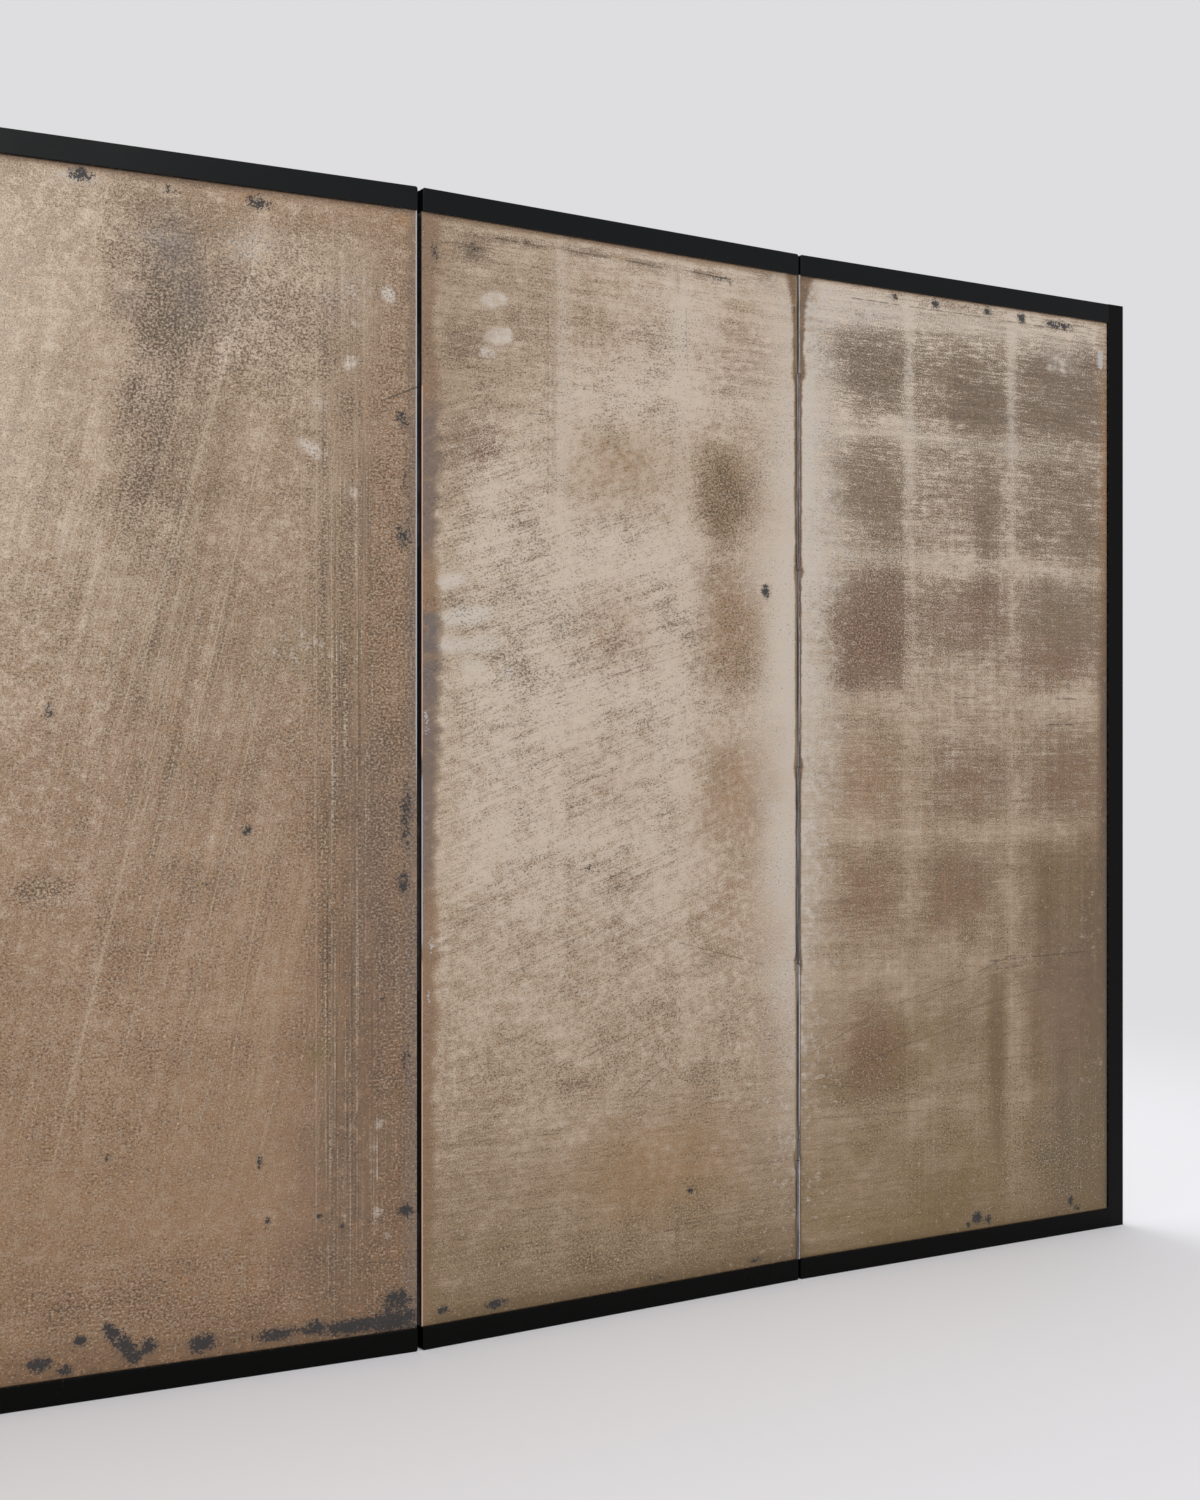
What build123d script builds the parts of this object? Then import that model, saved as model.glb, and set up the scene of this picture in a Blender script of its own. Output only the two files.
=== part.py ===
from build123d import *

import os
from dataclasses import dataclass
from math import cos, radians, sin, sqrt

# A six-panel folding screen, open in a shallow zigzag.
# Each panel is a softwood lattice covered with paper on both sides and silver leaf on the front,
# between two black lacquered rails. The two end panels also carry a lacquered stile.
# Neighbouring panels are joined by paper hinge leaves pasted from one panel's front to the
# other's back, by turns, so that no gap shows where the paper folds.
#
# Millimetres and degrees. X runs along the screen, -Y is the silvered front and +Z is up.
# Panels are numbered from the right-hand end. The origin is at the bottom, in the middle.

# ---- Overall sizes -------------------------------------------------------------------------
screen_height = 1212.0
panel_width = 502.0
frame_depth = 18.0
panels_each_side = 3

# ---- Lacquered frame -----------------------------------------------------------------------
rail_face = 24.5
stile_face = 27.0
lacquer_round = 1.0
rail_corner_round = 2.5

# ---- Papers ---------------------------------------------------------------------------------
front_recess = 3.0
back_recess = 1.2
sheet_thickness = 0.5
paper_layer = 0.6

# ---- Lattice core ---------------------------------------------------------------------------
outer_member = 24.0
lattice_bar = 15.0
lattice_columns = 3
lattice_rows = 7
corner_tenon_length = 14.0
bar_tenon_length = 8.0

# ---- Bamboo pegs that hold the lacquered frame to the core ----------------------------------
peg_side = 3.0
peg_length = 24.0
peg_point = 0.8

# ---- Paper hinges ---------------------------------------------------------------------------
full_leaves = 4
flap_width = 28.0
leaf_slit = 0.8
valley_gap = 3.0
mountain_gap = 4.0
pivot_clearance = 0.3
crease_clearance = 0.2
crest_clearance = 0.3

# ---- Folds of the zigzag at rest ------------------------------------------------------------
centre_fold = 5.9
mountain_fold = 5.9
end_fold = 2.4

# ---- Worked out from the above --------------------------------------------------------------
core_bottom = rail_face
core_height = screen_height - 2 * rail_face
front_layers = front_recess + sheet_thickness + paper_layer
back_layers = back_recess + sheet_thickness + paper_layer
core_depth = frame_depth - front_layers - back_layers
core_y = -frame_depth / 2 + front_layers + core_depth / 2
tenon_thickness = core_depth / 3
corner_tenon_height = outer_member / 2
column_pitch = panel_width / lattice_columns
row_pitch = core_height / lattice_rows

VALLEY = "valley"
MOUNTAIN = "mountain"
FRONT = -1
BACK = 1


@dataclass(frozen=True)
class Rim:
    """One upright edge of a panel: hinged to the next panel, or closed by a stile."""

    toward: int
    fold: str | None
    webs_on_odd_leaves: bool = False

    @property
    def gap(self):
        return {VALLEY: valley_gap, MOUNTAIN: mountain_gap, None: 0.0}[self.fold]

    @property
    def crease_side(self):
        """The side of the screen on which this hinge creases when it folds."""
        return FRONT if self.fold == VALLEY else BACK

    @property
    def core_reach(self):
        """From the middle of the panel to the edge of its core."""
        return panel_width / 2 - (paper_layer if self.fold else 0.0)

    def sheet_reach(self, side):
        """From the middle of the panel to the edge of the outer sheet on one side."""
        if self.fold is None or side != self.crease_side:
            return panel_width / 2
        widest = max(self.gap / 2 + paper_layer, crease_clearance + bead_radius(side))
        return panel_width / 2 + self.gap / 2 - widest

    def has_web(self, leaf):
        """Whether this leaf's web lies on this rim, and not on the neighbour's."""
        return (leaf % 2 == 1) == self.webs_on_odd_leaves

    def has_flap(self, leaf, side):
        """Whether this leaf is pasted to this panel on the given side."""
        return self.has_web(leaf) == (side != self.crease_side)


@dataclass(frozen=True)
class Panel:
    """One panel's place, and what is at its two edges."""

    number: int
    x: float
    y: float
    angle: float
    left: Rim
    right: Rim

    @property
    def name(self):
        return f"panel_{self.number}"

    @property
    def rims(self):
        return (self.left, self.right)

    @property
    def along(self):
        """Unit vector from the panel's left to its right."""
        return Vector(cos(radians(self.angle)), sin(radians(self.angle)), 0)

    @property
    def plane(self):
        return Plane(origin=(self.x, self.y, 0), x_dir=self.along, z_dir=(0, 0, 1))

    def elevation(self, y):
        """The upright plane that faces the front, at depth y in the panel's own frame."""
        origin = self.plane.from_local_coords((0, y, 0))
        return Plane(origin=origin, x_dir=self.along, z_dir=-self.plane.y_dir)


def recess(side):
    return front_recess if side == FRONT else back_recess


def paper_depth(side):
    """From the rails' surface down to the layer of under-paper and hinge flaps."""
    return recess(side) + sheet_thickness


def bead_radius(side):
    """Radius of the raised bead that a hinge's slack paper makes beside its crease."""
    return paper_depth(side) - crest_clearance


# ---- Where each panel stands ----------------------------------------------------------------


def pivot_offset(rim):
    """A rim's pivot in its panel's own frame: half a gap out, just clear of the rails."""
    x = rim.toward * (panel_width + rim.gap) / 2
    y = rim.crease_side * (frame_depth / 2 + pivot_clearance)
    return x, y


def turned(x, y, angle):
    c, s = cos(radians(angle)), sin(radians(angle))
    return c * x - s * y, s * x + c * y


def right_half():
    """The panels right of the middle, from the centre joint outwards, before centring in Y."""
    pivot = (0.0, 0.0)
    angle = -centre_fold / 2
    fold = VALLEY
    panels = []
    for step in range(panels_each_side):
        is_end = step == panels_each_side - 1
        next_fold = MOUNTAIN if fold == VALLEY else VALLEY
        left = Rim(-1, fold)
        right = Rim(1, None if is_end else next_fold, webs_on_odd_leaves=True)
        dx, dy = turned(*pivot_offset(left), angle)
        x, y = pivot[0] - dx, pivot[1] - dy
        panels.append(Panel(panels_each_side - step, x, y, angle, left, right))
        if not is_end:
            dx, dy = turned(*pivot_offset(right), angle)
            pivot = (x + dx, y + dy)
            next_is_end = step == panels_each_side - 2
            turn = end_fold if next_is_end and next_fold == VALLEY else mountain_fold
            angle += turn if next_fold == MOUNTAIN else -turn
            fold = next_fold
    return panels


def plan_corners(panel):
    """The panel's outermost corners seen from above."""
    for rim in panel.rims:
        reach = panel_width / 2 + (0.0 if rim.fold else stile_face)
        for side in (FRONT, BACK):
            dx, dy = turned(rim.toward * reach, side * frame_depth / 2, panel.angle)
            yield panel.x + dx, panel.y + dy


def place_panels():
    """All panels from the right-hand end to the left, centred in Y."""
    half = right_half()
    depths = [y for panel in half for _, y in plan_corners(panel)]
    middle = (min(depths) + max(depths)) / 2
    right, left = [], []
    for panel in half:
        y = panel.y - middle
        right.append(Panel(panel.number, panel.x, y, panel.angle, panel.left, panel.right))
        outer = Rim(-1, panel.right.fold, not panel.right.webs_on_odd_leaves)
        inner = Rim(1, panel.left.fold, not panel.left.webs_on_odd_leaves)
        number = 2 * panels_each_side + 1 - panel.number
        left.append(Panel(number, -panel.x, y, -panel.angle, outer, inner))
    return sorted(right + left, key=lambda panel: panel.number)


panels = place_panels()


# ---- Shared positions -----------------------------------------------------------------------


def leaf_spans():
    """Bottom and height of each hinge leaf: full leaves with a half leaf at either end."""
    share = core_height / (full_leaves + 1)
    lengths = [share / 2] + [share] * full_leaves + [share / 2]
    spans = []
    bottom = core_bottom
    for index, length in enumerate(lengths):
        low = bottom + (leaf_slit / 2 if index else 0)
        high = bottom + length - (leaf_slit / 2 if index < len(lengths) - 1 else 0)
        spans.append((low, high - low))
        bottom += length
    return spans


def column_lines():
    """X of the lattice's uprights."""
    return [column_pitch * i - panel_width / 2 for i in range(1, lattice_columns)]


def row_lines():
    """Z of the lattice's crossbars."""
    return [core_bottom + row_pitch * i for i in range(1, lattice_rows)]


def rail_peg_lines():
    """X of the pegs between a core and its rails, in the middle of each lattice column."""
    return [column_pitch * (i + 0.5) - panel_width / 2 for i in range(lattice_columns)]


def stile_peg_lines():
    """Z of the pegs between a core and its stile: the lowest, middle and highest lattice rows."""
    rows = (0, lattice_rows // 2, lattice_rows - 1)
    return [core_bottom + row_pitch * (i + 0.5) for i in rows]


def peg_places(panel):
    """Centre and direction of each peg of one panel, in the panel's own frame."""
    for x in rail_peg_lines():
        for z in (core_bottom, core_bottom + core_height):
            yield (x, core_y, z), Axis.Z
    for rim in panel.rims:
        if rim.fold is None:
            for z in stile_peg_lines():
                yield (rim.toward * panel_width / 2, core_y, z), Axis.X


def cut_peg_holes(panel):
    """Take the panel's peg holes out of the piece being built."""
    for centre, axis in peg_places(panel):
        size = (peg_length, peg_side, peg_side) if axis == Axis.X else (peg_side, peg_side, peg_length)
        with Locations(centre):
            Box(*size, mode=Mode.SUBTRACT)


# ---- Lattice core ---------------------------------------------------------------------------


def core_stile(panel, rim):
    """An outer upright of the core, mortised for the outer rails and the crossbars."""
    x = rim.toward * (rim.core_reach - outer_member / 2)
    inner_face = rim.toward * (rim.core_reach - outer_member)
    with BuildPart(panel.plane) as stile:
        with Locations((x, core_y, core_bottom + core_height / 2)):
            Box(outer_member, core_depth, core_height)
        corner_x = inner_face + rim.toward * corner_tenon_length / 2
        ends = (core_bottom + outer_member / 2, core_bottom + core_height - outer_member / 2)
        with Locations(*[(corner_x, core_y, z) for z in ends]):
            Box(corner_tenon_length, tenon_thickness, corner_tenon_height, mode=Mode.SUBTRACT)
        bar_x = inner_face + rim.toward * bar_tenon_length / 2
        with Locations(*[(bar_x, core_y, z) for z in row_lines()]):
            Box(bar_tenon_length, tenon_thickness, lattice_bar, mode=Mode.SUBTRACT)
        cut_peg_holes(panel)
    stile.part.label = "core_stile"
    return stile.part


def core_rail(panel, z, inward):
    """The core's top or bottom member, tenoned into both outer uprights."""
    left = -(panel.left.core_reach - outer_member)
    right = panel.right.core_reach - outer_member
    mortise_z = z + inward * (outer_member - bar_tenon_length) / 2
    with BuildPart(panel.plane) as rail:
        with Locations(((left + right) / 2, core_y, z)):
            Box(right - left, core_depth, outer_member)
            Box(right - left + 2 * corner_tenon_length, tenon_thickness, corner_tenon_height)
        with Locations(*[(x, core_y, mortise_z) for x in column_lines()]):
            Box(lattice_bar, tenon_thickness, bar_tenon_length, mode=Mode.SUBTRACT)
        cut_peg_holes(panel)
    rail.part.label = "core_rail"
    return rail.part


def upright(panel, x):
    """A lattice upright, notched at the back to half its depth at every crossbar."""
    length = core_height - 2 * outer_member
    with BuildPart(panel.plane) as bar:
        with Locations((x, core_y, core_bottom + core_height / 2)):
            Box(lattice_bar, core_depth, length)
            Box(lattice_bar, tenon_thickness, length + 2 * bar_tenon_length)
        with Locations(*[(x, core_y + core_depth / 4, z) for z in row_lines()]):
            Box(lattice_bar, core_depth / 2, lattice_bar, mode=Mode.SUBTRACT)
    bar.part.label = "upright"
    return bar.part


def crossbar(panel, z):
    """A lattice crossbar, notched at the front to half its depth at every upright."""
    left = -(panel.left.core_reach - outer_member)
    right = panel.right.core_reach - outer_member
    with BuildPart(panel.plane) as bar:
        with Locations(((left + right) / 2, core_y, z)):
            Box(right - left, core_depth, lattice_bar)
            Box(right - left + 2 * bar_tenon_length, tenon_thickness, lattice_bar)
        with Locations(*[(x, core_y - core_depth / 4, z) for x in column_lines()]):
            Box(lattice_bar, core_depth / 2, lattice_bar, mode=Mode.SUBTRACT)
    bar.part.label = "crossbar"
    return bar.part


def lattice_core(panel):
    """Every wooden piece of one panel's core."""
    low = core_bottom + outer_member / 2
    high = core_bottom + core_height - outer_member / 2
    pieces = [core_stile(panel, rim) for rim in panel.rims]
    pieces += [core_rail(panel, low, 1), core_rail(panel, high, -1)]
    pieces += [upright(panel, x) for x in column_lines()]
    pieces += [crossbar(panel, z) for z in row_lines()]
    return pieces


# ---- Papers ---------------------------------------------------------------------------------


def under_paper(panel, side):
    """The lining pasted on the core, cut away where the hinge flaps lie in the same layer."""
    y = side * (frame_depth / 2 - paper_depth(side) - paper_layer / 2)
    left, right = -panel.left.core_reach, panel.right.core_reach
    with BuildPart(panel.plane) as paper:
        with Locations(((left + right) / 2, y, core_bottom + core_height / 2)):
            Box(right - left, paper_layer, core_height)
        for rim in panel.rims:
            width = flap_width - paper_layer
            x = rim.toward * (rim.core_reach - width / 2)
            for leaf, (bottom, height) in enumerate(leaf_spans()):
                if rim.fold and rim.has_flap(leaf, side):
                    with Locations((x, y, bottom + height / 2)):
                        Box(width, paper_layer, height, mode=Mode.SUBTRACT)
    paper.part.label = "front_lining" if side == FRONT else "back_lining"
    return paper.part


def outer_sheet(panel, side):
    """The finished paper that shows: silver leaf on the front, plain on the back."""
    y = side * (frame_depth / 2 - recess(side) - sheet_thickness / 2)
    left, right = -panel.left.sheet_reach(side), panel.right.sheet_reach(side)
    with BuildPart(panel.plane) as sheet:
        with Locations(((left + right) / 2, y, core_bottom + core_height / 2)):
            Box(right - left, sheet_thickness, core_height)
    return sheet


# ---- Lacquered frame ------------------------------------------------------------------------


def round_long_edges(piece, direction):
    """Ease the four long edges of the lacquered piece being built."""
    long_edges = piece.edges().filter_by(Axis((0, 0, 0), direction)).sort_by(Edge.length)[-4:]
    fillet(long_edges, lacquer_round)


def lacquered_rail(panel, is_top):
    """A top or bottom rail, with rounded outer corners where it meets another panel."""
    outward = 1 if is_top else -1
    centre_z = screen_height - rail_face / 2 if is_top else rail_face / 2
    with BuildPart(panel.plane) as rail:
        with BuildSketch(panel.elevation(frame_depth / 2)) as outline:
            with Locations((0, centre_z)):
                Rectangle(panel_width, rail_face)
            hinged = [rim.toward for rim in panel.rims if rim.fold]
            corners = [
                corner
                for corner in outline.vertices()
                if (corner.Y - centre_z) * outward > 0 and (1 if corner.X > 0 else -1) in hinged
            ]
            fillet(corners, rail_corner_round)
        extrude(amount=frame_depth)
        round_long_edges(rail, panel.along)
        cut_peg_holes(panel)
    return rail


def lacquered_stile(panel, rim):
    """The upright that closes an end of the screen, over its full height."""
    x = rim.toward * (panel_width + stile_face) / 2
    with BuildPart(panel.plane) as stile:
        with Locations((x, 0, screen_height / 2)):
            Box(stile_face, frame_depth, screen_height)
        round_long_edges(stile, (0, 0, 1))
        cut_peg_holes(panel)
    return stile


def bamboo_peg(panel, centre, axis):
    """A square peg with bevelled ends, half in the core and half in the lacquered piece."""
    size = (peg_length, peg_side, peg_side) if axis == Axis.X else (peg_side, peg_side, peg_length)
    direction = panel.along if axis == Axis.X else (0, 0, 1)
    with BuildPart(panel.plane) as peg:
        with Locations(centre):
            Box(*size)
        ends = peg.faces().filter_by(Plane(origin=(0, 0, 0), z_dir=direction))
        chamfer(ends.edges(), peg_point)
    peg.part.label = "peg"
    return peg.part


# ---- Paper hinges ---------------------------------------------------------------------------


class LeafSection:
    """Points of a hinge leaf's cross-section beside one rim of a panel.

    A point is given by its distance inwards from the pivot's plane and its depth below the
    rails' surface on the side where the hinge creases.
    """

    def __init__(self, rim):
        self.rim = rim
        self.side = rim.crease_side
        self.half_gap = rim.gap / 2

    def at(self, inward, depth):
        x = self.rim.toward * (panel_width / 2 + self.half_gap - inward)
        y = self.side * (frame_depth / 2 - depth)
        return (x, y)

    def quarter_round(self, depth, radius):
        """A quarter circle about the crease, from the panel's side up to the crease itself."""
        slant = radius / sqrt(2)
        start = self.at(crease_clearance + radius, depth)
        middle = self.at(crease_clearance + slant, depth - slant)
        end = self.at(crease_clearance, depth - radius)
        return ThreePointArc(start, middle, end)

    def draw_tail(self):
        """A leaf pasted on the crease side: a flap under the sheet, and half of the bead."""
        depth = paper_depth(self.side)
        radius = bead_radius(self.side)
        flap_end = self.half_gap + flap_width
        inner_radius = radius - paper_layer
        outer = self.quarter_round(depth, radius)
        inner = self.quarter_round(depth, inner_radius)
        Line(self.at(flap_end, depth), outer @ 0)
        Line(outer @ 1, inner @ 1)
        Polyline(
            inner @ 0,
            self.at(crease_clearance + inner_radius, depth + paper_layer),
            self.at(flap_end, depth + paper_layer),
            self.at(flap_end, depth),
        )

    def draw_web(self):
        """A leaf pasted on the far side: its flap, its web along the rim, and half the bead."""
        far_depth = frame_depth - paper_depth(-self.side)
        flap_end = self.half_gap + flap_width
        radius = self.half_gap + paper_layer - crease_clearance
        depth = crest_clearance + radius
        core_side = self.quarter_round(depth, radius)
        gap_side = self.quarter_round(depth, radius - paper_layer)
        Polyline(
            gap_side @ 0,
            self.at(self.half_gap, far_depth),
            self.at(flap_end, far_depth),
            self.at(flap_end, far_depth - paper_layer),
            self.at(self.half_gap + paper_layer, far_depth - paper_layer),
            core_side @ 0,
        )
        Line(core_side @ 1, gap_side @ 1)


def hinge_leaves(panel, rim):
    """The paper of one hinge that stays with this panel, split at the crease."""
    section = LeafSection(rim)
    pieces = []
    for leaf, (bottom, height) in enumerate(leaf_spans()):
        with BuildPart() as piece:
            with BuildSketch(panel.plane.offset(bottom)):
                with BuildLine():
                    if rim.has_web(leaf):
                        section.draw_web()
                    else:
                        section.draw_tail()
                make_face()
            extrude(amount=height)
        piece.part.label = "web_leaf" if rim.has_web(leaf) else "tail_leaf"
        pieces.append(piece.part)
    return pieces


def hinge_name(panel, rim):
    """Named for the two panels that it joins, and for the side of the joint that it stays on."""
    if rim.toward > 0:
        return f"paper_hinge_{panel.number - 1}_{panel.number}_left"
    return f"paper_hinge_{panel.number}_{panel.number + 1}_right"


# ---- Write every node -----------------------------------------------------------------------


def write_group(name, pieces):
    """Write separate solids of one kind as one node."""
    group = Compound(label=name, children=pieces)
    export_step(group, f"parts/{name}.step")


def write_piece(name, piece):
    """Write a node of one solid."""
    piece.part.label = name
    export_step(piece.part, f"parts/{name}.step")


os.makedirs("parts", exist_ok=True)

for panel in panels:
    write_group(f"{panel.name}_core", lattice_core(panel))
    write_group(f"{panel.name}_linings", [under_paper(panel, side) for side in (FRONT, BACK)])
    write_piece(f"{panel.name}_silver_face", outer_sheet(panel, FRONT))
    write_piece(f"{panel.name}_back_paper", outer_sheet(panel, BACK))
    write_piece(f"{panel.name}_top_rail", lacquered_rail(panel, is_top=True))
    write_piece(f"{panel.name}_bottom_rail", lacquered_rail(panel, is_top=False))
    write_group(f"{panel.name}_pegs", [bamboo_peg(panel, *place) for place in peg_places(panel)])
    for rim in panel.rims:
        if rim.fold:
            write_group(hinge_name(panel, rim), hinge_leaves(panel, rim))
        else:
            end = "right" if rim.toward > 0 else "left"
            write_piece(f"{end}_stile", lacquered_stile(panel, rim))

for panel in panels:
    print(f"{panel.name}: centre ({panel.x:.3f}, {panel.y:.3f}), turned {panel.angle:.2f} degrees")
    for rim in panel.rims:
        if rim.fold:
            pivot = panel.plane.from_local_coords((*pivot_offset(rim), 0))
            print(f"  {hinge_name(panel, rim)}: {rim.fold} pivot ({pivot.X:.3f}, {pivot.Y:.3f})")
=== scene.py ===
"""A six-panel folding screen: silver leaf on paper between black lacquered rails."""

import logging
import math
from dataclasses import dataclass, field
from enum import Enum
from typing import Iterator, Sequence

import bpy
import numpy as np
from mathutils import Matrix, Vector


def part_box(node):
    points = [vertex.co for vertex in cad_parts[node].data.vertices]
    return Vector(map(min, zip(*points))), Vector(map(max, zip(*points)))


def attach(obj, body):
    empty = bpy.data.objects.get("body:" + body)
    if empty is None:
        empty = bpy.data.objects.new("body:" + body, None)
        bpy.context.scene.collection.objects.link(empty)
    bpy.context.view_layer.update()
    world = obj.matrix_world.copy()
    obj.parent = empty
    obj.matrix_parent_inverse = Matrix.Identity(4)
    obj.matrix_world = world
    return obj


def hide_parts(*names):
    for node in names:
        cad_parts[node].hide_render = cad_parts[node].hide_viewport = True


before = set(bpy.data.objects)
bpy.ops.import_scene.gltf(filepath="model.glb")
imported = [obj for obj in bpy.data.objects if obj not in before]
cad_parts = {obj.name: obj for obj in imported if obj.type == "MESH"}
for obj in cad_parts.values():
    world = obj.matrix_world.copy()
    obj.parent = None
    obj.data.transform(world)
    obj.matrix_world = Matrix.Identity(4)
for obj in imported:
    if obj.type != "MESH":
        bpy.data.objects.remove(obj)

log = logging.getLogger("folding_screen")

MM = 0.001
PANELS = 6
LATTICE_COLUMNS, LATTICE_ROWS = 3, 7

# Random heights along each side of the table that soft_noise reads, before they repeat.
NOISE_CELLS = 64
# The number that each use of noise starts its seeds from.
SLOW_SEED, QUICK_SEED, PATINA_SEED, SEAM_SEED, LEAF_SEED = 40, 60, 100, 200, 300
# How far the noise of one sheet or leaf lies from the next one's, in millimetres.
SHEET_STEP, LEAF_STEP = 5000.0, 900.0

# Sockets of the Mix node, by index, because its names repeat for each kind of data.
FACTOR, FLOAT_A, FLOAT_B, COLOUR_A, COLOUR_B, COLOUR_OUT = 0, 2, 3, 6, 7, 2


class Side(Enum):
    """The two broad sides of a panel, as the sign of the panel's own y."""

    FRONT = -1
    BACK = 1


class Fold(Enum):
    """Where the paper of a hinge creases: at the front or at the back."""

    VALLEY = Side.FRONT
    MOUNTAIN = Side.BACK


class Field(Enum):
    """What is painted on a silvered sheet, each as one channel of a mesh attribute.

    TONE, TAN, OLIVE and RED are the darkness and the hues of the ground. TARNISH is the film
    on it, GLOW its pale rubbed leaf, SPOT its ink-dark spots and CHIP its bare chips. FLECK
    says how pitted the leaf is and CRISP how sharply its film is torn. LEVEL, RISING, STEEP
    and UPRIGHT say which way its brush strokes run. APART and HAIR are the distance to the
    nearest fine line and its strength. SLATE is dark grey tarnish, and on the first sheet also
    painted shadow by the stile. RIM is a highlight painted on the outermost edge:
    pale, or copper where it is negative.
    """

    TONE = ("ground", 0)
    TAN = ("ground", 1)
    OLIVE = ("ground", 2)
    RED = ("ground", 3)
    TARNISH = ("marks", 0)
    GLOW = ("marks", 1)
    SPOT = ("marks", 2)
    CHIP = ("marks", 3)
    FLECK = ("texture", 0)
    RISING = ("texture", 1)
    STEEP = ("texture", 2)
    UPRIGHT = ("texture", 3)
    CRISP = ("film", 0)
    APART = ("film", 1)
    HAIR = ("film", 2)
    LEVEL = ("film", 3)
    SLATE = ("stain", 0)
    RIM = ("stain", 1)

    @classmethod
    def attributes(cls) -> list[str]:
        """The names of the mesh attributes, each once."""
        return list(dict.fromkeys(name.value[0] for name in cls))


# ---- Small tools --------------------------------------------------------------------------


def linear(code: str) -> tuple[float, float, float, float]:
    """Turn an sRGB hex colour into the linear colour that a node takes.

    Args:
        code: The colour as "#RRGGBB".

    Returns:
        Red, green, blue and an alpha of 1.
    """
    srgb = np.array([int(code[i : i + 2], 16) for i in (1, 3, 5)]) / 255
    value = np.where(srgb <= 0.04045, srgb / 12.92, ((srgb + 0.055) / 1.055) ** 2.4)
    return (*value.tolist(), 1.0)


def add(
    tree: bpy.types.NodeTree,
    kind: str,
    inputs: dict | None = None,
    **settings: object,
) -> bpy.types.Node:
    """Add one node with its settings, values and links.

    Args:
        tree: The node tree that gets it.
        kind: Blender's name for the node type.
        inputs: A value, or a socket to link from, for each input by name or index.
        settings: The node's own options.

    Returns:
        The new node.
    """
    node = tree.nodes.new(kind)
    for name, value in settings.items():
        setattr(node, name, value)
    for key, value in (inputs or {}).items():
        if isinstance(value, bpy.types.NodeSocket):
            tree.links.new(value, node.inputs[key])
        else:
            node.inputs[key].default_value = value
    return node


def new_material(name: str) -> tuple[bpy.types.Material, bpy.types.NodeTree, bpy.types.Node]:
    """Make a material that holds one Principled shader.

    Args:
        name: The material's name.

    Returns:
        The material, its node tree and its shader.
    """
    material = bpy.data.materials.new(name)
    material.use_nodes = True
    tree = material.node_tree
    return material, tree, tree.nodes["Principled BSDF"]


def sideways(tree: bpy.types.NodeTree, normal: bpy.types.NodeSocket) -> bpy.types.NodeSocket:
    """How far a face looks along the screen, from |x| of its normal.

    Args:
        tree: The material's nodes.
        normal: The face's direction in its object.

    Returns:
        0 up to |x| = 0.8, and 1 from 0.95.
    """
    across = add(tree, "ShaderNodeSeparateXYZ", {0: normal}).outputs[0]
    across = add(tree, "ShaderNodeMath", {0: across}, operation="ABSOLUTE").outputs[0]
    return add(
        tree, "ShaderNodeMapRange", {"Value": across, "From Min": 0.8, "From Max": 0.95}
    ).outputs[0]


def soft_noise(
    u: np.ndarray, v: np.ndarray, cell: float, seed: int, octaves: int = 3
) -> np.ndarray:
    """Smooth random heights: a square lattice of them, eased from corner to corner.

    Each octave halves the cell and the weight of the one before.

    Args:
        u, v: Places, in the same unit as the cell.
        cell: Size of the coarsest cell.
        seed: Fixes the random heights.
        octaves: How many layers are added.

    Returns:
        A value from 0 to 1 for each place.
    """
    table = np.random.default_rng(seed).random((octaves, NOISE_CELLS, NOISE_CELLS))
    total = np.zeros(np.broadcast(u, v).shape)
    for octave in range(octaves):
        a, b = u / cell * 2**octave, v / cell * 2**octave
        i, j = np.floor(a).astype(int), np.floor(b).astype(int)
        s, t = a - i, b - j
        s, t = s * s * (3 - 2 * s), t * t * (3 - 2 * t)
        corner = [
            table[octave, (i + p) % NOISE_CELLS, (j + q) % NOISE_CELLS]
            for p in (0, 1)
            for q in (0, 1)
        ]
        low = corner[0] * (1 - t) + corner[1] * t
        high = corner[2] * (1 - t) + corner[3] * t
        total += (low * (1 - s) + high * s) / 2**octave
    return total / (2 - 0.5 ** (octaves - 1))


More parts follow.
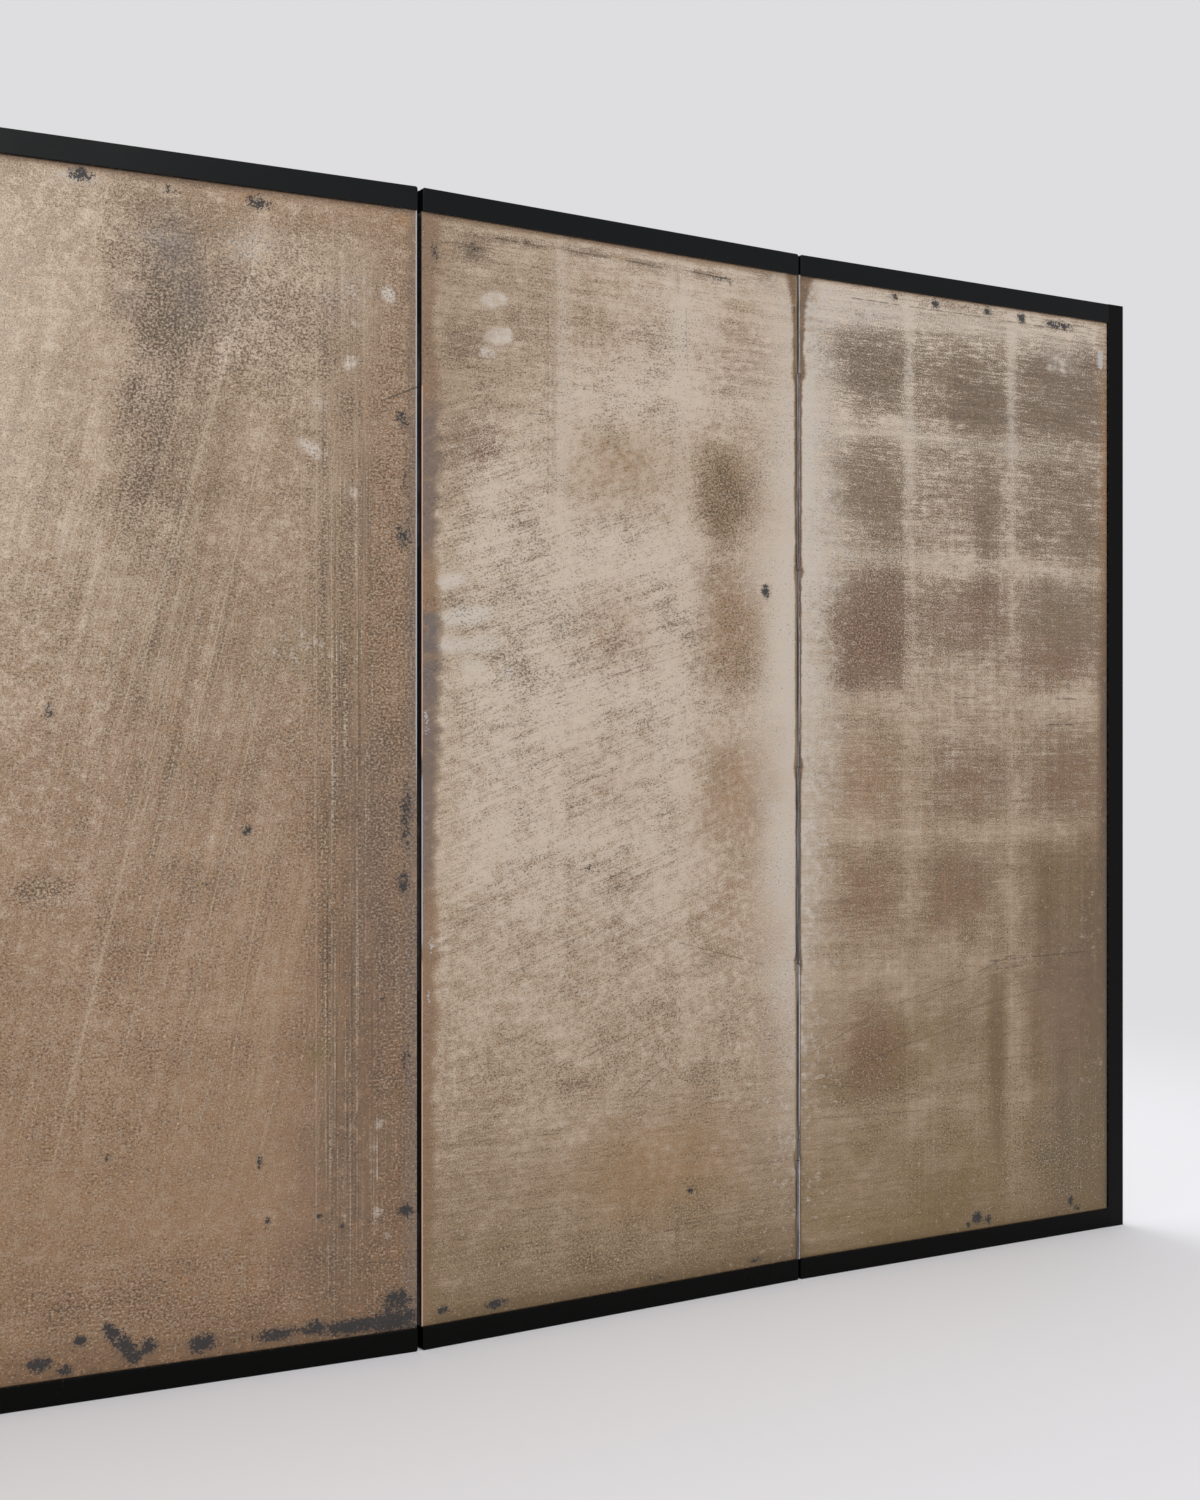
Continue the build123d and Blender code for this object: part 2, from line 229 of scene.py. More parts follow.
@dataclass
class Shell:
    """A closed surface.

    Attributes:
        points: Its points, in metres.
        quads: Its four-sided faces, each as the numbers of its points.
        caps: Its end faces, likewise.
    """

    points: np.ndarray
    quads: np.ndarray
    caps: list[np.ndarray]

    @classmethod
    def swept(cls, rows: np.ndarray) -> "Shell":
        """Join closed profiles, row by row, and close both ends.

        Face (r, p) runs between points p and p + 1 of rows r and r + 1. All faces are turned
        outwards by the sign of the enclosed volume.

        Args:
            rows: Points, as (row, place round the profile, xyz).

        Returns:
            The closed surface.
        """
        count, around = rows.shape[:2]
        index = np.arange(count * around).reshape(count, around)
        low, high = index[:-1], index[1:]
        ahead = np.roll(index, -1, axis=1)
        quads = np.stack([low, ahead[:-1], ahead[1:], high], axis=-1).reshape(-1, 4)
        caps = [index[0][::-1], index[-1]]
        points = rows.reshape(-1, 3)
        fans = [np.stack([np.full(around - 2, c[0]), c[1:-1], c[2:]], axis=-1) for c in caps]
        triangles = np.concatenate([quads[:, :3], quads[:, [0, 2, 3]], *fans])
        a, b, c = (points[triangles[:, k]] - points[0] for k in range(3))
        if np.einsum("ij,ij->i", a, np.cross(b, c)).sum() < 0:
            quads, caps = quads[:, ::-1], [c[::-1] for c in caps]
        return cls(points, quads, caps)

    @classmethod
    def joined(cls, shells: Sequence["Shell"]) -> "Shell":
        """Put several closed surfaces into one, in order."""
        starts = np.cumsum([0] + [len(s.points) for s in shells[:-1]])
        return cls(
            np.concatenate([s.points for s in shells]),
            np.concatenate([s.quads + n for s, n in zip(shells, starts)]),
            [cap + n for s, n in zip(shells, starts) for cap in s.caps],
        )

    def make(self, name: str, crease: float = 35.0) -> bpy.types.Object:
        """Make the mesh object, smooth except at sharp corners.

        Args:
            name: Name of the object and its mesh.
            crease: The turn between faces, in degrees, from which an edge stays sharp.

        Returns:
            The object, at the origin, with its place in its mesh.
        """
        mesh = bpy.data.meshes.new(name)
        faces = self.quads.tolist() + [cap.tolist() for cap in self.caps]
        mesh.from_pydata(self.points.tolist(), [], faces)
        mesh.shade_smooth()
        mesh.set_sharp_from_angle(angle=math.radians(crease))
        piece = bpy.data.objects.new(name, mesh)
        bpy.context.scene.collection.objects.link(piece)
        return piece


def write_attribute(mesh: bpy.types.Mesh, name: str, values: np.ndarray) -> None:
    """Store numbers at every point of a mesh.

    Args:
        mesh: The mesh that gets them.
        name: The attribute's name.
        values: 3 numbers for each point, kept as a vector, or 4, kept as a colour.
    """
    kind, key = ("FLOAT_VECTOR", "vector") if values.shape[-1] == 3 else ("FLOAT_COLOR", "color")
    attribute = mesh.attributes.new(name, kind, "POINT")
    attribute.data.foreach_set(key, values.astype(np.float32).ravel())


def dress(piece: bpy.types.Object, material: bpy.types.Material) -> None:
    """Give a piece its only material.

    Args:
        piece: A new piece or a CAD node.
        material: Its finish.
    """
    piece.data.materials.clear()
    piece.data.materials.append(material)


# ---- Where a panel stands -----------------------------------------------------------------


@dataclass(frozen=True)
class PanelPlace:
    """One panel's own frame: x along the panel, y to the back, z up, in millimetres.

    Attributes:
        number: The panel, counted from the right-hand end.
        centre: Its middle in plan.
        along: Its own x direction in plan.
    """

    number: int
    centre: np.ndarray
    along: np.ndarray

    @staticmethod
    def plan(node: str) -> np.ndarray:
        """The different plan points of a CAD node.

        Args:
            node: The node's name.

        Returns:
            Points in millimetres, as (point, xy).
        """
        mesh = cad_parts[node].data
        flat = np.zeros(len(mesh.vertices) * 3)
        mesh.vertices.foreach_get("co", flat)
        return np.unique(np.round(flat.reshape(-1, 3)[:, :2] / MM, 3), axis=0)

    @classmethod
    def measured(cls, number: int) -> "PanelPlace":
        """Find a panel's direction from its silvered sheet and its middle from a rail.

        Args:
            number: The panel, counted from the right-hand end.

        Returns:
            The panel's frame.
        """
        sheet = cls.plan(f"panel_{number}_silver_face")
        half = len(sheet) // 2
        order = np.argsort(sheet[:, 0])
        along = sheet[order[half:]].mean(0) - sheet[order[:half]].mean(0)
        along /= np.linalg.norm(along)
        axes = np.array([along, [-along[1], along[0]]])
        rail = cls.plan(f"panel_{number}_bottom_rail") @ axes.T
        middle = (rail.min(0) + rail.max(0)) / 2
        return cls(number, middle @ axes, along)

    @property
    def axes(self) -> np.ndarray:
        """The panel's own x and y directions, as rows."""
        return np.array([self.along, [-self.along[1], self.along[0]]])

    def extent(self, node: str) -> tuple[np.ndarray, np.ndarray]:
        """The lowest and highest corner of a CAD node in this frame.

        Args:
            node: The node's name.

        Returns:
            The two corners, in millimetres.
        """
        low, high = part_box(node)
        flat = (self.plan(node) - self.centre) @ self.axes.T
        return (
            np.array([*flat.min(0), low.z / MM]),
            np.array([*flat.max(0), high.z / MM]),
        )

    def world(self, x: np.ndarray, y: np.ndarray, z: np.ndarray) -> np.ndarray:
        """Places in this frame as points of the scene: the middle plus x and y along the axes.

        Args:
            x, y, z: Places in millimetres.

        Returns:
            The points in metres, with xyz last.
        """
        x, y, z = np.broadcast_arrays(x, y, z)
        flat = self.centre + x[..., None] * self.axes[0] + y[..., None] * self.axes[1]
        return np.concatenate([flat, z[..., None]], axis=-1) * MM

    @property
    def body(self) -> str:
        """The CAD body that this panel's pieces ride on."""
        return f"panel_{self.number}"


# ---- What age has done to each silvered sheet ---------------------------------------------

# Rows of numbers, one for each mark or height on a sheet.
Marks = tuple[tuple[float, ...], ...]
# How noise shifts the marks, in millimetres: its cell, and its reach across and down.
SHIFT_CELL, SHIFT_REACH = 60, (40, 34)
# A mark whose half size is smaller than this, in millimetres, shifts only by this share.
SMALL_MARK, SMALL_PULL = 26, 0.12
# How square a patch is where its mark doesn't say, and the power of e that counts as nothing.
SOFT_POWER, NOTHING = 2.4, 60
# The ghosts of the lattice, in millimetres: half widths of an upright's and of a crossbar's,
# and how long their stronger and weaker stretches are.
UPRIGHT_GHOST, CROSSBAR_GHOST, GHOST_CELL = 9.5, 15.0, 70
# The distance from a fine line past which it isn't told apart, in millimetres.
HAIR_REACH = 10.0


@dataclass(frozen=True)
class Seam:
    """The soiled line on a sheet beside a hinge.

    Attributes:
        widths: Its width at several heights, as (v, width) in millimetres.
        tone, tan: How dark and how brown it is.
        slate: How much dark grey tarnish lies on it at several heights, as (v, amount).
        rim: How strongly a highlight is painted on the sheet's very edge, pale, or copper if
            negative, likewise.
    """

    widths: Marks
    tone: float = 0.95
    tan: float = 0.3
    slate: Marks = ((0, 0.0),)
    rim: Marks = ((0, 0.0),)


@dataclass(frozen=True)
class Patina:
    """The tarnish of one sheet, in millimetres from its panel's left edge and its own top.

    Attributes:
        falls: For a field, its value at several heights, as (v, value).
        patches: For a field, soft patches as (u, v, half width, half height, strength), then
            if need be the turn in degrees and how square or how sharp the patch is.
        strokes: For a field, lines as (u, v, u, v, half width, strength).
        hairs: Fine lines as (u, v, u, v, strength), dark, or pale if the strength is negative.
        bars: How clearly the upright and the cross bars of the lattice show through.
        left, right: The soiled lines beside the hinges.
    """

    falls: dict[Field, Marks] = field(default_factory=dict)
    patches: dict[Field, Marks] = field(default_factory=dict)
    strokes: dict[Field, Marks] = field(default_factory=dict)
    hairs: Marks = ()
    bars: tuple[float, float] = (0.2, 0.2)
    left: Seam | None = None
    right: Seam | None = None

    @staticmethod
    def patch(
        u: np.ndarray, v: np.ndarray, mark: tuple[float, ...], is_round: bool
    ) -> np.ndarray:
        """One soft patch: round, or squarish as the tarnish in a cell of the lattice.

        Strength times exp(-0.8 f), with a and b the distances from its middle in half sizes.
        A round patch has f = hypot(a, b)^p, and a squarish one f = a^p + b^p. The higher p
        is, the sharper or squarer the patch.

        Args:
            u, v: Places on the sheet, in millimetres.
            mark: The patch.
            is_round: Whether it is round.

        Returns:
            Its amount at each place.
        """
        u0, v0, half_u, half_v, strength = mark[:5]
        turn = math.radians(mark[5]) if len(mark) > 5 else 0.0
        power = mark[6] if len(mark) > 6 else SOFT_POWER
        du, dv = u - u0, v - v0
        a = np.abs(du * math.cos(turn) - dv * math.sin(turn)) / half_u
        b = np.abs(du * math.sin(turn) + dv * math.cos(turn)) / half_v
        far = np.hypot(a, b) ** power if is_round else a**power + b**power
        return strength * np.exp(-np.minimum(far, NOTHING) * 0.8)

    @staticmethod
    def stroke(u: np.ndarray, v: np.ndarray, mark: tuple[float, ...]) -> np.ndarray:
        """One soft line: strength times exp(-(d / half width)^2), d the distance from it.

        Args:
            u, v: Places on the sheet, in millimetres.
            mark: The stroke.

        Returns:
            Its amount at each place.
        """
        u0, v0, u1, v1, half, strength = mark
        length = math.hypot(u1 - u0, v1 - v0)
        along = ((u - u0) * (u1 - u0) + (v - v0) * (v1 - v0)) / length**2
        along = np.clip(along, 0, 1)
        apart = np.hypot(u - u0 - along * (u1 - u0), v - v0 - along * (v1 - v0))
        return strength * np.exp(-np.minimum((apart / half) ** 2, NOTHING))

    def hair_lines(self, u: np.ndarray, v: np.ndarray) -> tuple[np.ndarray, np.ndarray]:
        """Distance across the nearest fine line, signed, and how strong the line is there.

        The signed distance changes evenly across the line, so that the line stays fine on a
        coarse mesh. The strength fades out from 4.5 to 6.5 mm away and within 3.6 mm past
        the line's ends.

        Args:
            u, v: Places on the sheet, in millimetres.

        Returns:
            Distances in millimetres, and strengths.
        """
        nearest, signed = np.full_like(u, np.inf), np.full_like(u, HAIR_REACH)
        strength = np.zeros_like(u)
        for u0, v0, u1, v1, power in self.hairs:
            length = math.hypot(u1 - u0, v1 - v0)
            across = ((u - u0) * (v1 - v0) - (v - v0) * (u1 - u0)) / length
            along = ((u - u0) * (u1 - u0) + (v - v0) * (v1 - v0)) / length
            beyond = np.maximum(np.maximum(-along, along - length), 0)
            apart = np.hypot(across, beyond)
            nearer = apart < nearest
            fade = np.clip((6.5 - np.abs(across)) / 2, 0, 1) * np.clip(1.2 - beyond / 3, 0, 1)
            nearest = np.where(nearer, apart, nearest)
            signed = np.where(nearer, np.clip(across, -HAIR_REACH, HAIR_REACH), signed)
            strength = np.where(nearer, power * fade, strength)
        return signed, strength

    def lattice(self, u: np.ndarray, v: np.ndarray, size: tuple[float, float]) -> np.ndarray:
        """How strongly a bar lies under each place: exp(-(d / half width)^3) for each bar.

        Args:
            u, v: Places on the sheet, in millimetres.
            size: Width and height of the sheet.

        Returns:
            0 in the cells and up to the strengths of `bars` on the bars.
        """
        shown = np.zeros_like(u)
        for place, full, count, half, share in (
            (u, size[0], LATTICE_COLUMNS, UPRIGHT_GHOST, self.bars[0]),
            (v, size[1], LATTICE_ROWS, CROSSBAR_GHOST, self.bars[1]),
        ):
            for k in range(1, count):
                apart = np.minimum(np.abs(place - full * k / count) / half, 3)
                shown = np.maximum(shown, share * np.exp(-(apart**3)))
        return shown

    def amounts(
        self, name: Field, u: np.ndarray, v: np.ndarray, shift: tuple[np.ndarray, np.ndarray]
    ) -> Iterator[np.ndarray]:
        """Work out the marks of one field, first its patches and then its strokes.

        Args:
            name: The field. Glow, spots and chips are round.
            u, v: Places on the sheet, in millimetres.
            shift: How far noise moves each place across and down.

        Yields:
            The amount of each mark at each place.
        """
        is_round = name in (Field.GLOW, Field.SPOT, Field.CHIP)
        for mark in self.patches.get(name, ()):
            pull = SMALL_PULL if min(mark[2:4]) < SMALL_MARK else 1.0
            yield self.patch(u + shift[0] * pull, v + shift[1] * pull, mark, is_round)
        for mark in self.strokes.get(name, ()):
            yield self.stroke(u + shift[0] * SMALL_PULL, v + shift[1] * SMALL_PULL, mark)

    def painted(
        self, u: np.ndarray, v: np.ndarray, size: tuple[float, float], seed: int
    ) -> dict[Field, np.ndarray]:
        """Work out every field over the sheet.

        Noise first shifts the places, so that no patch has a drawn outline. The tone adds
        its marks up. The other fields join theirs as 1 - (1 - a)(1 - b). Bars of the
        lattice thin the film and lighten the tone, and noise lets them come and go.

        Args:
            u, v: Places on the sheet, in millimetres.
            size: Width and height of the sheet.
            seed: Fixes the noise.

        Returns:
            An array for each field.
        """
        shift = tuple(
            (soft_noise(u, v, SHIFT_CELL, seed + axis) - 0.5) * reach
            for axis, reach in enumerate(SHIFT_REACH)
        )
        fields = {}
        for name in Field:
            total = np.zeros_like(u)
            if name in self.falls:
                places, values = zip(*self.falls[name])
                total = total + np.interp(v + shift[1], places, values)
            for amount in self.amounts(name, u, v, shift):
                is_sum = name is Field.TONE
                total = total + amount if is_sum else 1 - (1 - total) * (1 - amount)
            fields[name] = total
        uneven = 0.1 + 1.6 * soft_noise(u, v, GHOST_CELL, seed + 2)
        shown = self.lattice(u + shift[0] * 0.1, v + shift[1] * 0.3, size) * uneven
        fields[Field.TARNISH] = fields[Field.TARNISH] - shown
        fields[Field.TONE] = fields[Field.TONE] - shown * 0.3
        fields[Field.APART], fields[Field.HAIR] = self.hair_lines(u, v)
        return fields


# How wide a sheet is soiled beside a valley hinge, as (v, width).
BEAD_WIDTHS: Marks = (
    (0, 14), (18, 10), (42, 6), (90, 4.6), (116, 6.5), (132, 2.8), (330, 2.2), (349, 4.6),
    (366, 1.8), (565, 1.6), (582, 3.6), (598, 1.3), (800, 1.2), (814, 3.2), (830, 1.1), (1030, 1.0),
    (1047, 3.2), (1062, 1.2), (1130, 2), (1163, 7),
)

PATINA: dict[int, Patina] = {}
PATINA[1] = Patina(
    falls={
        Field.TONE: ((0, 0.1), (150, 0.17), (400, 0.26), (900, 0.42), (1163, 0.66)),
        Field.TAN: ((0, 0.05), (480, 0.18), (900, 0.3), (1163, 0.24)),
        Field.OLIVE: ((0, 0.0), (480, 0.08), (850, 0.25), (1000, 0.55), (1163, 0.72)),
        Field.RED: ((0, 0.0), (300, 0.1), (800, 0.15), (1163, 0.0)),
        Field.TARNISH: (
            (0, 0.3), (30, 0.42), (60, 0.5), (480, 0.38), (560, 0.28), (900, 0.3), (1163, 0.34),
        ),
        Field.CRISP: ((0, 1.0), (470, 0.8), (620, 0.6), (900, 0.5), (1163, 0.5)),
        Field.LEVEL: ((0, 0.7), (310, 0.65), (380, 0.65), (760, 0.75), (1163, 0.85)),
    },
    patches={
        Field.TARNISH: (
            (118, 105, 50, 46, 0.68, 0, 4), (250, 115, 70, 56, 0.4, 0, 3),
            (282, 128, 44, 38, 0.8, 0, 3), (425, 105, 84, 66, 0.72, 0, 3.5),
            (400, 150, 90, 26, 0.4), (112, 252, 56, 54, 0.6, 0, 3), (260, 250, 66, 60, 0.15),
            (292, 265, 18, 74, 0.72), (430, 255, 76, 60, 0.62, 0, 3),
            (108, 415, 54, 74, 0.82, 0, 4), (130, 400, 30, 60, 0.4), (265, 395, 60, 44, 0.55, 0, 3),
            (420, 388, 76, 44, 0.8, 0, 3), (425, 442, 78, 24, 0.5), (100, 595, 54, 50, 0.5),
            (260, 600, 66, 50, 0.6, 0, 3), (430, 590, 82, 50, 0.66, 0, 3), (100, 735, 56, 54, 0.5),
            (245, 735, 64, 54, 0.7, 0, 3), (425, 735, 74, 66, 0.85, 0, 3),
            (115, 930, 54, 50, 0.85, 0, 3), (310, 955, 14, 95, 0.95), (250, 900, 64, 54, 0.45),
            (440, 880, 70, 150, 0.75, 0, 3), (395, 760, 14, 60, 0.6), (230, 1110, 60, 38, 0.5),
            (450, 1090, 60, 65, 0.7), (420, 1020, 12, 110, 0.6), (470, 930, 16, 150, 0.6),
            (120, 400, 34, 60, 0.4), (380, 930, 12, 90, 0.5), (502, 800, 12, 430, 1.0, 0, 4),
            (400, 842, 96, 24, 0.6, 6, 3), (95, 960, 60, 20, 0.4, 10, 3), (400, 1110, 14, 50, 0.4),
        ),
        Field.RED: (
            (110, 425, 56, 64, 0.75), (265, 392, 56, 34, 0.6), (425, 446, 82, 26, 0.7),
            (260, 600, 60, 64, 0.6), (430, 590, 76, 58, 0.6), (95, 735, 56, 58, 0.75),
            (240, 745, 56, 46, 0.6), (115, 930, 54, 50, 0.75), (430, 930, 60, 70, 0.4),
        ),
        Field.TAN: ((100, 595, 52, 56, 0.5), (502, 200, 13, 190, 0.8)),
        Field.OLIVE: (
            (420, 385, 78, 36, 0.2), (425, 735, 54, 62, 0.3), (180, 925, 34, 44, 0.8),
            (260, 1090, 120, 60, 0.4),
        ),
        Field.TONE: (
            # The first patch is painted shadow: a dark band along the stile down the sheet's right
            # edge.
            (504, 800, 15, 430, 1.0, 0, 3), (470, 1110, 80, 90, 0.25), (4, 22, 18, 36, 0.9),
            (250, 1156, 320, 10, 0.2), (460, 940, 60, 190, 0.24), (100, 410, 60, 70, 0.2),
            (250, 735, 66, 56, 0.18), (430, 740, 80, 66, 0.24), (310, 960, 13, 100, 0.56),
            (400, 846, 96, 26, 0.2, 6, 3), (484, 930, 24, 210, 0.2), (95, 735, 56, 56, 0.12),
            (115, 930, 54, 46, 0.3), (60, 1120, 60, 60, -0.12), (180, 930, 30, 50, -0.14),
            (395, 760, 13, 70, 0.36), (425, 1010, 12, 110, 0.3), (470, 900, 15, 170, 0.4),
            (378, 930, 10, 90, 0.26), (345, 930, 13, 170, -0.14), (60, 760, 60, 200, -0.06),
            (240, 1010, 240, 16, -0.06), (250, 1130, 60, 20, 0.14), (450, 590, 70, 50, 0.1),
        ),
        Field.GLOW: (
            (-8, 240, 56, 420, 1.0, 0, 1.8), (-6, 760, 36, 260, 0.5, 0, 1.8), (90, 30, 80, 26, 0.5),
            (168, 150, 10, 150, 0.42, 0, 3), (335, 130, 10, 110, 0.45, 0, 3),
            (300, 30, 220, 16, 0.42), (420, 62, 30, 20, 0.5), (250, 178, 230, 12, 0.34),
            (120, 325, 120, 12, 0.3),
        ),
        Field.SPOT: (
            (145, 9, 6, 5, 0.8), (210, 9, 8, 6, 0.9), (294, 9, 7, 6, 0.9), (350, 9, 8, 7, 0.95),
            (415, 11, 28, 6, 0.75), (278, 1148, 9, 9, 1.0), (296, 1151, 6, 7, 0.95),
            (262, 1156, 5, 4, 0.8), (437, 1146, 5, 7, 0.9), (449, 1156, 5, 4, 0.85),
        ),
        # The first patch is painted shadow along the stile, grey-black.
        Field.SLATE: ((504, 800, 8, 440, 0.5, 0, 5), (450, 950, 60, 180, 0.2)),
        Field.CHIP: ((491, 50, 6, 15, 0.9),),
        Field.FLECK: (
            (110, 100, 60, 60, 0.5), (110, 410, 70, 80, 0.6), (420, 250, 80, 60, 0.3),
            (110, 930, 70, 60, 0.5), (430, 1100, 80, 60, 0.5), (250, 300, 250, 200, 0.35),
            (250, 700, 250, 300, 0.35), (300, 1000, 240, 160, 0.35),
        ),
        Field.RISING: ((220, 900, 260, 60, 0.5),),
        Field.UPRIGHT: ((300, 700, 280, 480, 0.3, 0, 4),),
    },
    hairs=(
        (415, 495, 445, 495, 0.8), (400, 528, 440, 528, 0.8), (250, 496, 270, 496, 0.7),
        (148, 559, 163, 559, 0.7), (300, 827, 460, 824, 0.7), (310, 838, 350, 836, 0.7),
        (10, 925, 130, 875, 0.4), (130, 875, 250, 850, 0.45), (250, 850, 340, 820, 0.5),
        (60, 950, 150, 925, 0.45), (150, 925, 250, 905, 0.45), (190, 962, 280, 953, 0.4),
        (280, 953, 450, 950, 0.35), (0, 955, 100, 970, 0.4), (100, 970, 200, 990, 0.35),
        (380, 1040, 440, 998, 0.5), (80, 17, 150, 17, 0.8), (170, 17, 300, 16, 0.7),
        (330, 17, 440, 17, 0.7), (20, 1000, 200, 1006, 0.4), (240, 888, 400, 866, 0.4),
    ),
    bars=(0.18, 0.2),
    left=Seam(BEAD_WIDTHS),
)
PATINA[2] = Patina(
    falls={
        Field.TONE: (
            (0, 0.24), (150, 0.16), (350, 0.08), (650, 0.08), (850, 0.26), (1000, 0.38),
            (1110, 0.55), (1163, 0.75),
        ),
        Field.TAN: ((0, 0.16), (500, 0.12), (900, 0.28), (1163, 0.2)),
        Field.OLIVE: ((0, 0.05), (950, 0.06), (1080, 0.4), (1163, 0.5)),
        Field.TARNISH: ((0, 0.2), (30, 0.1), (400, 0.1), (900, 0.2), (1163, 0.3)),
        Field.CRISP: ((0, 0.5), (350, 0.3), (1163, 0.2)),
        Field.LEVEL: ((0, 0.7), (180, 0.6), (240, 0.2), (900, 0.25), (960, 0.7), (1163, 0.6)),
    },
    patches={
        Field.TARNISH: (
            (60, 33, 24, 14, 0.8), (48, 132, 26, 22, 0.55), (110, 105, 64, 44, 0.3),
            (240, 95, 60, 46, 0.2), (415, 110, 44, 44, 0.4), (45, 235, 28, 36, 0.5),
            (78, 240, 20, 28, 0.4), (250, 250, 56, 36, 0.2), (402, 250, 38, 46, 0.9, 0, 3),
            (382, 285, 26, 46, 0.8, 12), (400, 420, 52, 76, 0.55, 0, 4),
            (240, 430, 54, 46, 0.2, 0, 4), (410, 610, 50, 60, 0.36, 0, 4),
            (230, 590, 60, 55, 0.15, 0, 4), (400, 740, 50, 55, 0.2, 0, 4),
            (265, 745, 40, 40, 0.2, 0, 4), (30, 1000, 60, 120, 0.25), (260, 1140, 240, 30, 0.3),
            (110, 15, 44, 5, 0.6), (205, 16, 30, 6, 0.7), (285, 17, 28, 5, 0.6),
            (372, 17, 34, 5, 0.7), (455, 10, 14, 9, 0.6),
        ),
        Field.TAN: (
            (230, 95, 60, 50, 0.3), (410, 90, 45, 45, 0.3), (250, 250, 64, 40, 0.6),
            (404, 420, 50, 76, 0.75), (240, 430, 52, 42, 0.4), (410, 610, 52, 62, 0.75),
            (300, 1030, 90, 48, 0.8), (410, 740, 50, 50, 0.4), (230, 590, 60, 50, 0.2),
            (400, 255, 60, 60, 0.4),
        ),
        Field.RED: ((78, 240, 24, 32, 0.7),),
        Field.OLIVE: (
            (398, 262, 44, 56, 0.42), (225, 90, 40, 30, 0.3), (250, 250, 70, 44, 0.3),
            (300, 1030, 100, 60, 0.3), (404, 420, 50, 70, 0.2), (410, 610, 50, 60, 0.25),
        ),
        Field.TONE: (
            (0, 20, 24, 50, 0.5), (300, 330, 160, 90, -0.1), (250, 560, 180, 160, -0.06),
            (80, 120, 90, 100, 0.26), (380, 80, 120, 90, -0.14), (240, 200, 90, 60, -0.1),
            (240, 105, 70, 56, -0.12), (163, 165, 3, 150, 0.2), (328, 30, 3, 14, 0.3),
            (328, 1100, 3, 32, 0.25), (398, 262, 44, 60, 0.3), (250, 1158, 320, 8, 0.35),
            (250, 2, 320, 4, 0.3), (30, 250, 24, 120, 0.2), (30, 560, 20, 170, 0.16),
            (70, 430, 70, 60, 0.12),
        ),
        Field.GLOW: (
            (506, 320, 54, 460, 0.75, 0, 1.8), (504, 800, 44, 280, 0.56, 0, 1.8),
            (88, 82, 20, 10, 0.75, 12, 5), (95, 119, 19, 11, 0.8, 12, 5),
            (80, 138, 12, 7, 0.7, 0, 5), (30, 385, 28, 9, 0.85, 14, 4),
            (55, 420, 38, 11, 0.85, 8, 4), (35, 450, 22, 12, 0.75, 0, 4),
            (75, 448, 20, 12, 0.75, 0, 4), (60, 473, 18, 9, 0.7, 0, 4), (20, 465, 8, 7, 0.6),
            (105, 480, 10, 7, 0.6), (172, 160, 13, 170, 0.42, 0, 4),
            (335, 220, 14, 200, 0.25, 0, 4), (330, 60, 16, 50, 0.4), (378, 85, 10, 12, 0.5),
        ),
        Field.SPOT: (
            (456, 375, 7, 9, 0.95), (207, 692, 5, 5, 0.7), (345, 1064, 5, 5, 0.7),
            (15, 40, 6, 10, 0.6), (90, 1153, 14, 6, 0.9), (25, 1150, 7, 5, 0.85),
            (60, 33, 18, 10, 0.45), (440, 1156, 14, 4, 0.6), (300, 1157, 14, 4, 0.5),
            (130, 12, 30, 4, 0.4), (390, 20, 20, 4, 0.5),
        ),
        Field.CHIP: ((6, 530, 4, 14, 0.56), (10, 765, 4, 9, 0.6), (8, 820, 3, 9, 0.5)),
        Field.FLECK: (
            (200, 520, 240, 420, 0.56, 0, 4), (260, 1110, 260, 60, 0.5), (250, 140, 250, 90, 0.4),
            (60, 60, 110, 90, 0.2), (396, 265, 50, 60, 0.9), (300, 900, 260, 90, 0.42),
            (60, 330, 60, 140, 0.3), (200, 440, 150, 60, 0.25), (400, 440, 60, 70, 0.45),
            (70, 430, 70, 70, 0.4), (88, 82, 20, 10, -0.8, 12, 5), (95, 119, 19, 11, -0.8, 12, 5),
            (30, 385, 28, 9, -0.8, 14, 4), (55, 420, 38, 11, -0.9, 8, 4),
            (35, 450, 22, 12, -0.9, 0, 4), (75, 448, 20, 12, -0.9, 0, 4),
            (60, 473, 18, 9, -0.8, 0, 4),
        ),
        Field.RISING: ((170, 520, 250, 380, 0.6, 0, 5),),
    },
    hairs=(
        (200, 900, 260, 880, 0.5), (270, 945, 310, 920, 0.5), (330, 780, 450, 812, 0.5),
        (90, 15, 145, 16, 0.8), (180, 15, 232, 16, 0.8), (260, 16, 305, 17, 0.8),
        (340, 16, 402, 18, 0.8), (155, 30, 155, 300, 0.3), (340, 60, 342, 130, 0.3),
        (60, 200, 150, 198, 0.3), (170, 470, 320, 440, 0.3), (140, 505, 330, 455, 0.3),
    ),
    bars=(0.15, 0.1),
    left=Seam(
        ((0, 15), (120, 13), (200, 17), (360, 15), (420, 18), (700, 14), (1163, 10)), 0.75, 0.65,
        (
            (0, 0.25), (190, 0.2), (215, 0.75), (340, 0.7), (370, 0.1), (414, 0.1), (422, 0.95),
            (456, 0.95), (464, 0.4), (474, 0.85), (560, 0.75), (690, 0.5), (720, 0.15),
            (1163, 0.15),
        ),
        # Painted highlight on the outermost edge, copper where negative.
        ((0, 0), (180, 0), (184, -1), (560, -0.8), (600, 0.8), (760, 0.8), (790, -0.8), (1163, -1)),
    ),
    right=Seam(BEAD_WIDTHS),
)
